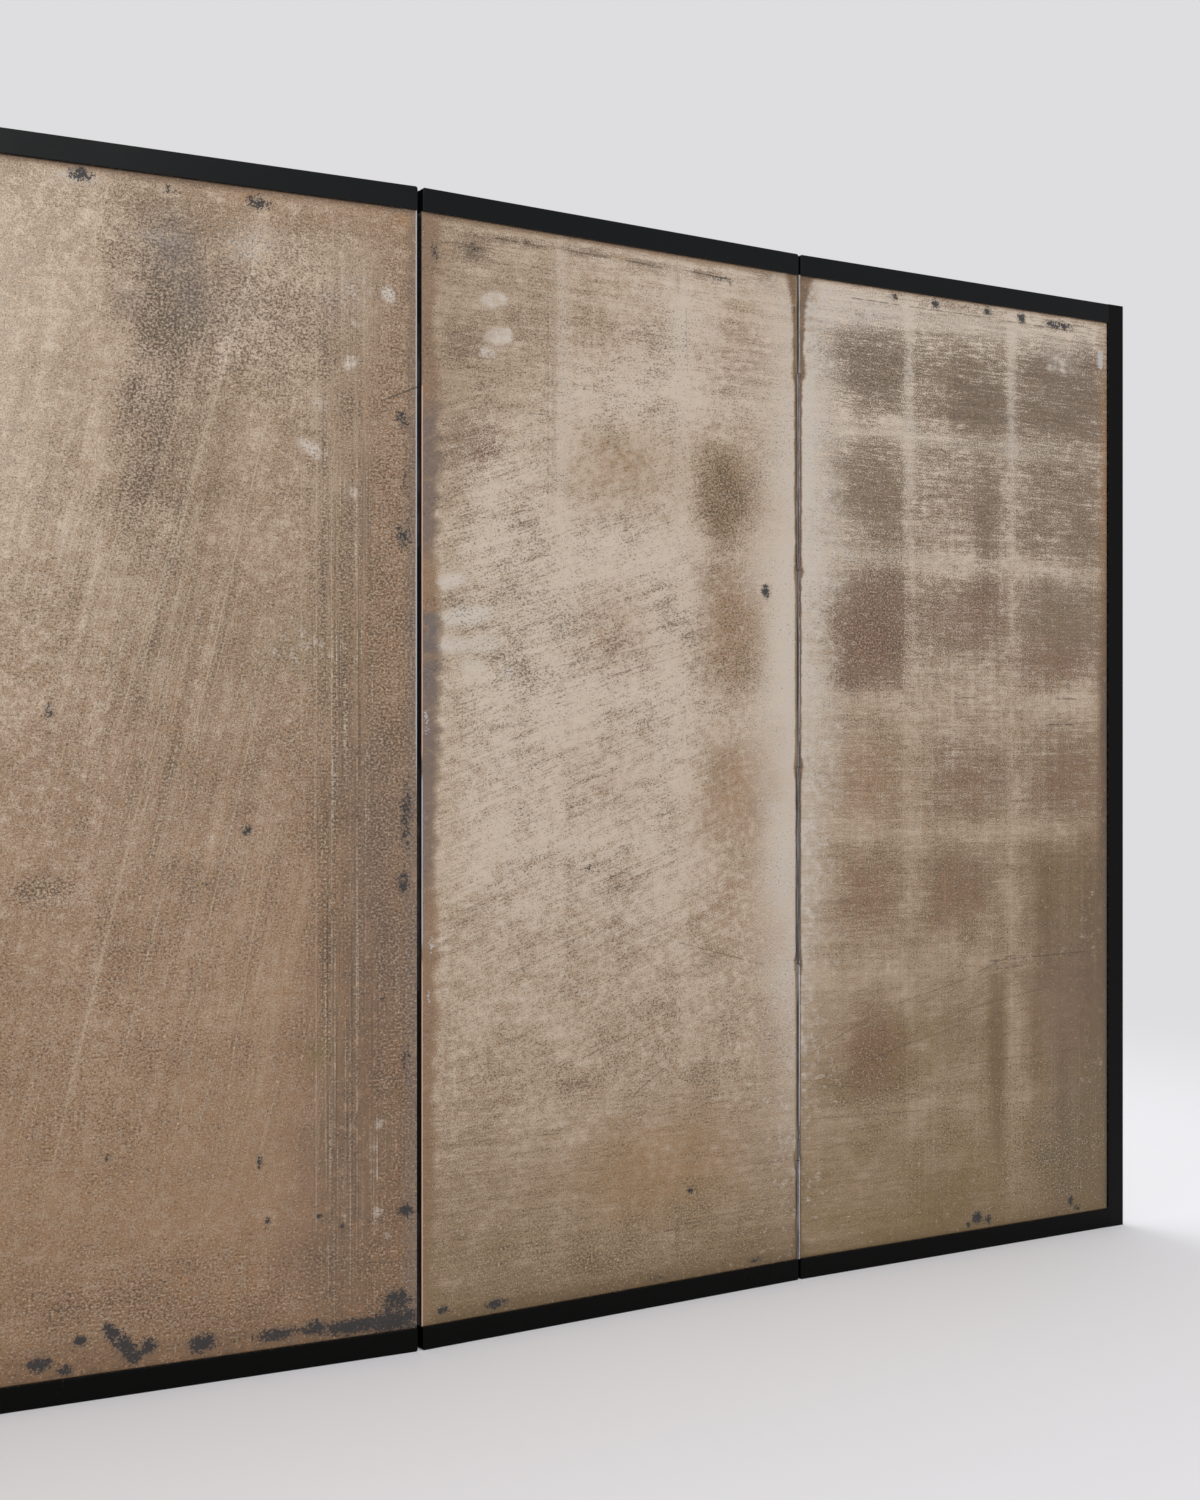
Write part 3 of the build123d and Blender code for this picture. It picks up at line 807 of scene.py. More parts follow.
PATINA[3] = Patina(
    falls={
        Field.TONE: ((0, 0.4), (300, 0.42), (600, 0.44), (900, 0.56), (1080, 0.62), (1163, 0.7)),
        Field.TAN: ((0, 0.15), (350, 0.3), (700, 0.55), (1000, 0.68), (1163, 0.6)),
        Field.TARNISH: ((0, 0.2), (500, 0.3), (1163, 0.34)),
        Field.CRISP: ((0, 0.4), (1163, 0.3)),
        Field.LEVEL: ((0, 0.4), (60, 0.15), (900, 0.15), (1163, 0.4)),
    },
    patches={
        Field.TONE: (
            (100, 160, 100, 200, -0.14, 0, 3), (290, 140, 40, 40, -0.12),
            (90, 480, 120, 180, -0.12), (230, 200, 36, 30, -0.1), (480, 600, 60, 620, 0.24),
            (300, 1156, 330, 20, 0.35), (260, 2, 320, 5, 0.35), (430, 560, 40, 560, 0.1),
            (420, 60, 60, 60, -0.1), (240, 170, 70, 170, 0.12, 0, 3),
            (450, 960, 70, 230, 0.3, 0, 3), (440, 640, 60, 160, 0.12),
        ),
        Field.TARNISH: (
            (235, 80, 46, 60, 0.42), (262, 150, 50, 60, 0.38), (240, 270, 46, 80, 0.42),
            (330, 130, 40, 60, 0.32), (300, 500, 110, 160, 0.3), (180, 640, 90, 160, 0.3),
            (200, 1120, 120, 40, 0.5), (420, 1100, 110, 60, 0.5), (482, 600, 26, 560, 0.45, 0, 4),
            (330, 30, 200, 18, 0.3), (455, 700, 40, 120, 0.45), (400, 640, 40, 60, 0.3),
            (440, 990, 60, 70, 0.4),
        ),
        Field.RED: ((470, 500, 30, 500, 0.3, 0, 4), (300, 800, 200, 200, 0.15)),
        Field.TAN: ((480, 560, 34, 560, 0.3, 0, 4), (380, 20, 120, 20, 0.3)),
        Field.GLOW: (
            (470, 92, 8, 10, 0.68, 30, 5), (430, 165, 9, 8, 0.6, 30, 5),
            (395, 209, 11, 9, 0.6, 0, 3), (385, 256, 17, 8, 0.66, 156, 4), (430, 295, 8, 8, 0.5),
            (390, 905, 6, 9, 0.5), (460, 945, 7, 9, 0.5), (457, 972, 5, 8, 0.5),
            (455, 995, 5, 8, 0.5), (458, 1042, 5, 9, 0.5), (470, 1065, 5, 8, 0.5),
            (60, 200, 70, 190, 0.3), (150, 12, 30, 8, 0.5), (230, 60, 30, 10, 0.4),
            (330, 60, 30, 26, 0.4), (420, 100, 40, 40, 0.3), (385, 455, 46, 26, 0.35),
        ),
        Field.OLIVE: ((393, 870, 16, 16, 0.8), (390, 455, 50, 28, 0.4)),
        Field.SPOT: (
            (320, 642, 6, 6, 0.75), (333, 973, 4, 9, 0.75), (340, 1035, 4, 7, 0.7),
            (395, 1036, 4, 4, 0.7), (420, 1048, 4, 4, 0.7), (490, 1040, 11, 7, 0.85),
            (277, 695, 3, 3, 0.7), (124, 525, 5, 9, 0.66), (180, 957, 6, 6, 0.5),
            (463, 820, 5, 5, 0.5), (155, 9, 13, 7, 0.9), (240, 12, 10, 5, 0.6),
            (330, 14, 14, 9, 0.75), (485, 220, 8, 10, 0.65), (490, 300, 7, 60, 0.4),
            (487, 340, 8, 12, 0.7), (490, 630, 8, 44, 0.6), (488, 700, 8, 14, 0.7),
            (155, 1131, 8, 6, 0.95), (115, 1147, 13, 8, 0.9), (140, 1157, 9, 6, 0.9),
            (222, 1143, 9, 8, 0.9), (275, 1148, 16, 10, 0.95), (350, 1150, 24, 8, 0.85),
            (390, 1148, 12, 8, 0.85), (430, 1152, 34, 8, 0.95), (480, 1130, 18, 12, 0.85),
            (480, 1153, 30, 12, 0.95), (490, 880, 7, 20, 0.5), (184, 1124, 11, 7, 0.95, -40),
            (196, 1139, 12, 9, 1.0, -50), (206, 1151, 9, 8, 0.9),
        ),
        Field.SLATE: (
            (238, 66, 26, 30, 0.4), (262, 120, 20, 30, 0.3), (200, 128, 14, 16, 0.25),
            (460, 700, 34, 160, 0.25), (420, 1000, 60, 120, 0.2),
        ),
        Field.FLECK: (
            (225, 80, 56, 60, 0.75), (255, 150, 50, 60, 0.7), (225, 250, 40, 120, 0.75),
            (330, 130, 50, 70, 0.65), (300, 560, 180, 300, 0.42, 0, 3),
            (482, 620, 30, 560, 0.7, 0, 4), (250, 1110, 260, 60, 0.6), (125, 697, 34, 14, 0.8),
            (150, 880, 160, 160, 0.42), (90, 400, 120, 200, 0.32), (370, 120, 60, 110, 0.4),
            (420, 560, 50, 500, 0.4, 0, 4),
        ),
        Field.STEEP: ((250, 560, 130, 470, 0.7, 12, 3), (90, 900, 70, 160, 0.5, 12, 3)),
        Field.UPRIGHT: ((420, 600, 34, 520, 0.95, 0, 5), (440, 900, 40, 200, 0.6)),
    },
    strokes={
        Field.TONE: (
            (330, 60, 215, 480, 5, -0.12), (300, 150, 180, 520, 4, -0.12),
            (345, 180, 255, 550, 4, -0.1), (200, 600, 150, 900, 5, -0.08),
        ),
        Field.TAN: (
            (255, 1080, 257, 1100, 6, 0.9), (300, 1097, 300, 1113, 6, 0.9),
            (325, 1084, 325, 1098, 5, 0.9), (315, 10, 325, 10, 5, 0.9), (484, 12, 496, 12, 6, 0.9),
        ),
    },
    hairs=(
        (468, 199, 502, 184, 1.0), (376, 150, 376, 550, -0.35), (330, 60, 215, 480, -0.5),
        (304, 150, 190, 540, -0.6), (352, 180, 262, 560, -0.55), (286, 120, 170, 470, -0.4),
        (262, 400, 140, 900, -0.5), (234, 520, 128, 960, -0.45), (300, 440, 190, 880, -0.4),
        (330, 520, 250, 860, -0.4), (392, 120, 392, 1050, -0.35), (408, 260, 409, 980, -0.35),
        (436, 200, 436, 1040, -0.35), (195, 330, 120, 640, -0.35), (346, 620, 300, 900, -0.35),
    ),
    bars=(0.12, 0.08),
    right=Seam(
        ((0, 8), (400, 10), (1163, 12)), 0.75, 0.55, ((0, 0.3), (1163, 0.4)),
        # Painted highlight on the outermost edge, pale.
        ((0, 0.8), (500, 1), (620, 0.2), (1163, 0)),
    ),
)
# The left half is guessed. Its sheets are aged in the same manner, each in its own way.
PATINA[4] = Patina(
    falls={
        Field.TONE: ((0, 0.28), (300, 0.34), (700, 0.48), (1000, 0.56), (1163, 0.72)),
        Field.TAN: ((0, 0.16), (500, 0.38), (900, 0.52), (1163, 0.45)),
        Field.OLIVE: ((0, 0.0), (1000, 0.1), (1163, 0.35)),
        Field.TARNISH: ((0, 0.2), (500, 0.3), (1163, 0.34)),
        Field.CRISP: ((0, 0.4), (1163, 0.3)),
        Field.LEVEL: ((0, 0.5), (300, 0.15), (900, 0.15), (1163, 0.5)),
    },
    patches={
        Field.TARNISH: (
            (90, 95, 60, 60, 0.45, 0, 4), (255, 100, 64, 56, 0.35, 0, 4),
            (420, 250, 64, 64, 0.45, 0, 4), (250, 420, 64, 64, 0.5, 0, 4),
            (90, 590, 60, 64, 0.4, 0, 4), (420, 740, 62, 62, 0.5, 0, 4),
            (250, 930, 66, 62, 0.5, 0, 4), (120, 1110, 90, 40, 0.5),
        ),
        Field.GLOW: (
            (496, 420, 26, 400, 0.5, 0, 4), (330, 150, 18, 10, 0.8), (350, 172, 14, 9, 0.8),
        ),
        Field.SPOT: (
            (60, 1150, 20, 9, 0.9), (210, 1152, 12, 7, 0.9), (380, 1149, 26, 9, 0.95),
            (300, 640, 6, 8, 0.85), (140, 300, 6, 6, 0.75), (450, 980, 6, 10, 0.8),
            (200, 9, 14, 6, 0.85),
        ),
        Field.FLECK: (
            (140, 300, 130, 240, 0.6, 0, 4), (300, 800, 200, 260, 0.6, 0, 4),
            (260, 1110, 260, 60, 0.6),
        ),
        Field.RISING: ((160, 420, 200, 330, 0.8, 0, 4),),
        Field.UPRIGHT: ((90, 620, 34, 420, 0.8, 0, 5),),
    },
    hairs=((40, 500, 160, 470, 0.5), (300, 820, 420, 800, 0.6), (260, 16, 380, 17, 0.8)),
    bars=(0.14, 0.1),
    right=Seam(BEAD_WIDTHS),
    left=Seam(((0, 9), (1163, 11)), 0.75, 0.55, ((0, 0.3), (1163, 0.4))),
)
PATINA[5] = Patina(
    falls={
        Field.TONE: ((0, 0.28), (350, 0.16), (700, 0.2), (950, 0.42), (1163, 0.76)),
        Field.TAN: ((0, 0.14), (600, 0.16), (1000, 0.3), (1163, 0.2)),
        Field.OLIVE: ((0, 0.04), (950, 0.06), (1163, 0.45)),
        Field.TARNISH: ((0, 0.2), (40, 0.1), (900, 0.2), (1163, 0.3)),
        Field.CRISP: ((0, 0.5), (350, 0.3), (1163, 0.2)),
        Field.LEVEL: ((0, 0.7), (240, 0.2), (900, 0.25), (960, 0.7), (1163, 0.6)),
    },
    patches={
        Field.TARNISH: (
            (90, 250, 52, 58, 0.8, 0, 4), (95, 420, 52, 64, 0.5, 0, 4),
            (260, 92, 60, 50, 0.4, 0, 4), (250, 590, 60, 60, 0.3, 0, 4),
            (420, 430, 56, 60, 0.36, 0, 4), (90, 745, 54, 56, 0.3, 0, 4),
            (420, 925, 64, 64, 0.42, 0, 4), (440, 40, 28, 16, 0.8), (260, 1130, 230, 30, 0.3),
        ),
        Field.TAN: (
            (260, 1010, 80, 46, 0.6), (95, 420, 50, 60, 0.6), (90, 250, 60, 60, 0.4),
            (250, 590, 60, 56, 0.3),
        ),
        Field.OLIVE: ((90, 250, 48, 52, 0.5),),
        Field.GLOW: (
            (6, 320, 30, 400, 0.8, 0, 4), (6, 830, 26, 260, 0.6, 0, 4), (410, 90, 20, 9, 0.8),
            (396, 118, 16, 9, 0.8), (440, 410, 28, 9, 0.7), (430, 440, 16, 10, 0.7),
            (335, 160, 12, 150, 0.4, 0, 4), (168, 200, 13, 180, 0.3, 0, 4),
        ),
        Field.SPOT: (
            (44, 380, 7, 9, 0.9), (300, 700, 5, 5, 0.7), (410, 1152, 15, 7, 0.9),
            (160, 1156, 12, 5, 0.8), (300, 9, 14, 5, 0.8),
        ),
        Field.FLECK: (
            (330, 520, 220, 400, 0.42, 0, 4), (260, 1110, 260, 60, 0.5), (95, 260, 60, 70, 0.7),
        ),
        Field.RISING: ((330, 520, 240, 380, 0.9, 0, 5),),
    },
    hairs=((60, 790, 180, 770, 0.6), (90, 16, 190, 17, 0.8), (230, 16, 330, 18, 0.8)),
    bars=(0.15, 0.1),
    left=Seam(BEAD_WIDTHS),
    right=Seam(
        ((0, 14), (500, 16), (1163, 10)), 0.6, 0.6,
        ((0, 0.2), (300, 0.46), (520, 0.46), (560, 0.1), (1163, 0.3)),
    ),
)
PATINA[6] = Patina(
    falls={
        Field.TONE: ((0, 0.1), (480, 0.24), (900, 0.42), (1163, 0.7)),
        Field.TAN: ((0, 0.06), (500, 0.16), (900, 0.2), (1163, 0.12)),
        Field.OLIVE: ((0, 0.0), (850, 0.05), (1163, 0.45)),
        Field.RED: ((0, 0.0), (300, 0.1), (800, 0.15), (1163, 0.0)),
        Field.TARNISH: ((0, 0.12), (40, 0.2), (60, 0.5), (480, 0.5), (900, 0.42), (1163, 0.3)),
        Field.CRISP: ((0, 1.0), (470, 0.8), (620, 0.5), (1163, 0.3)),
        Field.LEVEL: ((0, 0.9), (310, 0.9), (345, 0.3), (760, 0.4), (860, 0.7), (1163, 0.6)),
    },
    patches={
        Field.TARNISH: (
            (85, 100, 76, 62, 0.75, 0, 4), (250, 100, 64, 56, 0.6, 0, 4),
            (400, 110, 58, 56, 0.7, 0, 4), (90, 255, 74, 60, 0.6, 0, 4),
            (400, 250, 64, 62, 0.8, 0, 4), (250, 400, 64, 56, 0.6, 0, 4),
            (400, 420, 60, 70, 0.9, 0, 4), (80, 590, 72, 64, 0.55, 0, 4),
            (250, 760, 62, 62, 0.5, 0, 4), (80, 930, 70, 84, 0.5, 0, 4),
            (400, 930, 64, 60, 0.65, 0, 4), (60, 1090, 60, 60, 0.6),
        ),
        Field.RED: ((400, 430, 56, 60, 0.7), (250, 760, 56, 56, 0.5), (400, 930, 56, 50, 0.55)),
        Field.TAN: ((0, 200, 13, 190, 0.8),),
        Field.OLIVE: ((80, 590, 66, 58, 0.35), (320, 925, 32, 42, 0.6), (250, 1090, 120, 60, 0.4)),
        # The first patch is painted shadow: a dark band along the left stile, as on the first
        # sheet.
        Field.TONE: ((-4, 800, 14, 420, 1.1, 0, 6), (250, 1156, 320, 10, 0.2)),
        Field.GLOW: (
            (496, 260, 32, 340, 0.95, 0, 4), (496, 720, 26, 240, 0.6, 0, 4),
            (168, 330, 12, 170, 0.3, 0, 4), (335, 300, 12, 160, 0.3, 0, 4),
        ),
        Field.SPOT: (
            (110, 10, 20, 5, 0.8), (260, 9, 7, 6, 0.9), (330, 9, 7, 6, 0.9), (220, 1149, 9, 8, 1.0),
            (70, 1150, 7, 6, 0.9),
        ),
        Field.FLECK: (
            (400, 100, 60, 60, 0.5), (410, 420, 70, 80, 0.55), (90, 1100, 80, 60, 0.4),
            (250, 500, 250, 420, 0.3),
        ),
        Field.RISING: ((280, 900, 260, 60, 0.6),),
    },
    hairs=((160, 840, 300, 862, 0.6), (60, 826, 200, 828, 0.7), (80, 17, 300, 17, 0.8)),
    bars=(0.2, 0.26),
    right=Seam(BEAD_WIDTHS),
)


# ---- Finishes -----------------------------------------------------------------------------


@dataclass(frozen=True)
class Grain:
    """One noise.

    Attributes:
        name: What the recipe knows it by.
        turn: Its turn, in degrees.
        length, width, depth: Its sizes along, across and through, in millimetres.
        detail: How many finer layers it has.
    """

    name: str
    turn: float
    length: float
    width: float
    detail: float = 3.0
    depth: float = 1000.0


@dataclass(frozen=True)
class Layer:
    """One colour laid over everything below it.

    Attributes:
        name: What later layers know its cover by.
        tint: Its colour.
        cover: How much it hides at most.
        windows: Values, each with the amount from which the layer shows and the amount from
            which it shows fully. The cover is scaled by all of them.
    """

    name: str
    tint: str
    cover: float
    windows: tuple[tuple[Field | str, float, float], ...]


# Painted shade: faces that look along the screen, into the gaps between panels, turn near black.
GAP_EDGE_SHADE = Layer("gap edge shade", "#120E0B", 1.0, (("sideways", 0.0, 1.0),))
# Values with their shares in a sum, and the sockets made so far.
Shares = tuple[tuple[Field | str, float], ...]
Made = dict[Field | str, bpy.types.NodeSocket]


@dataclass(frozen=True)
class Recipe:
    """How a colour is built up from noises and values.

    Attributes:
        base: The lowest colour.
        grains: The noises. Each of them counts from its middle.
        blends: A new noise, the one it starts as, and those that replace it and where.
        sums: New values as shares of others.
        layers: The colours over the base.
    """

    base: str
    grains: tuple[Grain, ...]
    layers: tuple[Layer, ...]
    sums: tuple[tuple[str, Shares], ...] = ()
    blends: tuple[tuple[str, str, tuple[tuple[str, Field], ...]], ...] = ()

    def follow(
        self, tree: bpy.types.NodeTree, place: bpy.types.NodeSocket, made: Made
    ) -> bpy.types.NodeSocket:
        """Add the nodes of the recipe.

        Args:
            tree: The material's nodes.
            place: The coordinates, in metres.
            made: The values to start from. Noises, blends, sums and covers are added to it.

        Returns:
            The colour.
        """
        for grain in self.grains:
            drawn = add(
                tree, "ShaderNodeMapping",
                {"Vector": place, "Rotation": (0, 0, math.radians(grain.turn)),
                 "Scale": (grain.length * MM, grain.width * MM, grain.depth * MM)},
                vector_type="TEXTURE",
            ).outputs[0]
            noise = add(
                tree, "ShaderNodeTexNoise",
                {"Vector": drawn, "Scale": 1.0, "Detail": grain.detail, "Roughness": 0.61},
            ).outputs[0]
            made[grain.name] = add(
                tree, "ShaderNodeMath", {0: noise, 1: 0.5}, operation="SUBTRACT"
            ).outputs[0]
        for name, start, steps in self.blends:
            made[name] = made[start]
            for source, weight in steps:
                made[name] = add(
                    tree, "ShaderNodeMix",
                    {FACTOR: made[weight], FLOAT_A: made[name], FLOAT_B: made[source]},
                ).outputs[0]
        for name, shares in self.sums:
            total = 0.0
            for source, share in shares:
                total = add(
                    tree, "ShaderNodeMath", {0: made[source], 1: share, 2: total},
                    operation="MULTIPLY_ADD",
                ).outputs[0]
            made[name] = total
        colour = linear(self.base)
        for layer in self.layers:
            cover = layer.cover
            for source, low, high in layer.windows:
                cover = add(
                    tree, "ShaderNodeMapRange",
                    {"Value": made[source], "From Min": low, "From Max": high, "To Max": cover},
                ).outputs[0]
            colour = add(
                tree, "ShaderNodeMix",
                {FACTOR: cover, COLOUR_A: colour, COLOUR_B: linear(layer.tint)},
                data_type="RGBA",
            ).outputs[COLOUR_OUT]
            made[layer.name] = cover
        return colour


@dataclass(frozen=True)
class SilverLeaf:
    """Silver leaf laid by hand on paper, tarnished and rubbed over a lattice.

    Attributes:
        recipe: The leaf's own tones, then film, stains, pits with painted highlights beside them,
            spots, scratches, and painted highlights on the outermost edge.
        dulled: The layers that take the shine away.
        metallic, roughness: Where the leaf is clean, and where it is fully dulled.
        relief: Depth of strokes and pits, in millimetres.
    """

    recipe: Recipe = Recipe(
        base="#D1C2B1",
        grains=(
            Grain("cloud", 0, 55, 55, 4),
            Grain("mottle", 0, 11, 11, 5),
            Grain("chip", 0, 3.4, 3.4),
            Grain("grain", 0, 1.5, 1.5, 1),
            Grain("level", 0, 26, 2.6),
            Grain("rising", 19, 34, 2.4),
            Grain("steep", 76, 220, 2.6),
            Grain("upright", 90, 240, 2.4),
            Grain("level band", 0, 150, 9, 4),
            Grain("rising band", 19, 170, 9, 4),
            Grain("steep band", 77, 420, 13, 4),
            Grain("upright band", 90, 460, 9, 4),
            Grain("crinkle", 0, 2.7, 2.2, 2),
            Grain("comma", 17, 3.6, 1.9, 2),
        ),
        blends=(
            ("brush", "chip", (("level", Field.LEVEL), ("rising", Field.RISING),
                               ("steep", Field.STEEP), ("upright", Field.UPRIGHT))),
            ("band", "mottle", (("level band", Field.LEVEL), ("rising band", Field.RISING),
                                ("steep band", Field.STEEP), ("upright band", Field.UPRIGHT))),
            ("pit", "crinkle", (("comma", Field.RISING),)),
        ),
        sums=(
            ("tone", ((Field.TONE, 1.0), ("cloud", 0.4), ("mottle", 0.2), ("band", 0.8),
                      ("grain", 1.0), ("brush", 0.8))),
            ("torn", ((Field.TARNISH, 1.0), ("cloud", 0.6), ("mottle", 0.4), ("band", 1.2),
                      ("grain", 1.6), ("brush", 1.9))),
            ("rust", ((Field.RED, 1.0), ("mottle", 1.0), ("grain", 0.6))),
            ("pitted", ((Field.FLECK, 0.2), ("pit", 1.1), ("brush", 0.25), ("band", 0.25),
                        ("cloud", 0.3))),
            # Painted highlights: pale flecks where the pits are not, for light on lifted leaf.
            ("highlit", ((Field.FLECK, 0.14), ("pit", -1.0), ("brush", 0.3), ("band", 0.3))),
            ("smudged", ((Field.FLECK, 0.22), ("chip", 0.9), ("brush", 0.5), ("band", 0.4),
                         ("cloud", 0.3))),
            ("shining", ((Field.GLOW, 1.0), ("brush", 1.9), ("mottle", 1.8), ("cloud", 0.7))),
            ("stained", ((Field.SPOT, 1.0), ("chip", 2.0), ("mottle", 1.5), ("grain", 0.8))),
            ("bare", ((Field.CHIP, 1.0), ("chip", 1.8), ("mottle", 0.8), ("grain", 0.8))),
            ("wavering", ((Field.APART, 1.0), ("chip", 1.0))),
        ),
        layers=(
            Layer("middle", "#B09D87", 1.0, (("tone", 0.0, 0.33),)),
            Layer("brown", "#8C7762", 1.0, (("tone", 0.33, 0.67),)),
            Layer("deep", "#5F5042", 1.0, (("tone", 0.67, 1.0),)),
            Layer("soft film", "#5F4D3B", 0.82, (("torn", 0.15, 0.85), (Field.CRISP, 1.0, 0.0))),
            Layer("crisp film", "#615040", 0.84, (("torn", 0.34, 0.66), (Field.CRISP, 0.0, 1.0))),
            Layer("burnt film", "#463A2F", 0.6, (("torn", 0.72, 1.25),)),
            Layer("red film", "#744E3F", 0.6, (("torn", 0.2, 0.8), ("rust", 0.2, 0.8))),
            Layer("warmth", "#B89A70", 0.25, (("mottle", 0.0, 0.15), ("cloud", -0.1, 0.12))),
            Layer("tan", "#9C734D", 1.0, (("mottle", -0.4, 0.2), (Field.TAN, 0.0, 1.0))),
            Layer("olive", "#7F6A40", 1.0, (("cloud", -0.4, 0.2), (Field.OLIVE, 0.0, 1.0))),
            Layer("steep scratches", "#C8B9A0", 0.5,
                  (("steep", 0.09, 0.15), (Field.STEEP, 0.0, 1.0))),
            Layer("steep grooves", "#4A3D32", 0.5,
                  (("steep", -0.09, -0.15), (Field.STEEP, 0.0, 1.0))),
            Layer("upright scratches", "#C8B9A0", 0.45,
                  (("upright", 0.08, 0.15), (Field.UPRIGHT, 0.0, 1.0))),
            Layer("upright grooves", "#3A3028", 0.6,
                  (("upright", -0.06, -0.13), (Field.UPRIGHT, 0.0, 1.0))),
            Layer("shine", "#CCC1B5", 0.84, (("shining", 0.27, 0.85),)),
            # Painted highlight of lifted leaf beside the pits.
            Layer("highlit lifted leaf", "#D3C6B2", 0.4, (("highlit", 0.14, 0.24),)),
            Layer("pits", "#40342A", 0.62, (("pitted", 0.17, 0.25),)),
            Layer("smudges", "#3A3028", 0.35, (("smudged", 0.25, 0.36),)),
            Layer("slate", "#5F5D5F", 0.8, (("mottle", -0.3, 0.0), (Field.SLATE, 0.0, 1.0))),
            Layer("soft spots", "#4A423C", 0.5, ((Field.SPOT, 0.2, 0.9),)),
            Layer("spots", "#26272A", 0.9, (("stained", 0.5, 0.66), (Field.SPOT, 0.02, 0.12))),
            Layer("chips", "#BDB9B4", 0.85, (("bare", 0.45, 0.56), (Field.CHIP, 0.02, 0.12))),
            # Painted highlights on the sheet's outermost edge, copper and pale.
            Layer("copper edge highlight", "#C6A08A", 1.0, ((Field.RIM, -0.3, -0.8),)),
            Layer("pale edge highlight", "#B4B5BC", 0.9, ((Field.RIM, 0.3, 0.8),)),
            Layer("dark lines", "#3E342B", 0.8,
                  (("wavering", 1.2, 0.4), ("wavering", -1.2, -0.4), (Field.HAIR, 0.0, 1.0),
                   ("mottle", -0.18, 0.0))),
            Layer("pale lines", "#C8B9A0", 0.8,
                  (("wavering", 1.0, 0.3), ("wavering", -1.0, -0.3), (Field.HAIR, 0.0, -1.0),
                   ("mottle", -0.12, 0.04))),
        ),
    )
    dulled: tuple[str, ...] = ("soft film", "crisp film", "pits", "spots")
    metallic: tuple[float, float] = (0.22, 0.04)
    roughness: tuple[float, float] = (0.5, 0.7)
    relief: float = 0.5

    def material(self) -> bpy.types.Material:
        """Build the material.

        Metal leaf rubbed thin keeps a little of its shine, and the tarnish dulls it. Brush
        strokes about 2 mm wide run level, rise or stand upright where the sheet's texture
        says so, in bands about 1 cm wide. Pits 2 to 3 mm long, dark beside pale flecks painted
        as highlights of lifted leaf, gather along the strokes, and where they are dense the leaf
        looks like leather.

        Returns:
            The material, which reads the sheet's own attributes.
        """
        material, tree, shader = new_material("Silver leaf on paper, hand laid and tarnished")
        made: Made = {}
        for attribute in Field.attributes():
            source = add(tree, "ShaderNodeAttribute", attribute_name=attribute)
            split = add(tree, "ShaderNodeSeparateColor", {"Color": source.outputs["Color"]})
            channels = [*split.outputs[:3], source.outputs["Alpha"]]
            made |= {name: channels[name.value[1]] for name in Field if name.value[0] == attribute}
        place = add(tree, "ShaderNodeAttribute", attribute_name="sheet").outputs["Vector"]
        colour = self.recipe.follow(tree, place, made)
        tree.links.new(colour, shader.inputs["Base Color"])

        dull = 0.0
        for name in self.dulled:
            dull = add(
                tree, "ShaderNodeMath", {0: dull, 1: made[name]}, operation="ADD", use_clamp=True
            ).outputs[0]
        for socket, (clean, dulled) in (
            ("Metallic", self.metallic), ("Roughness", self.roughness)
        ):
            value = add(
                tree, "ShaderNodeMapRange", {"Value": dull, "To Min": clean, "To Max": dulled}
            ).outputs[0]
            tree.links.new(value, shader.inputs[socket])

        height = add(
            tree, "ShaderNodeMath", {0: made["pit"], 1: -1.0, 2: made["brush"]},
            operation="MULTIPLY_ADD",
        ).outputs[0]
        bump = add(
            tree, "ShaderNodeBump",
            {"Height": height, "Strength": 0.45, "Distance": self.relief * MM},
        ).outputs[0]
        tree.links.new(bump, shader.inputs["Normal"])
        return material


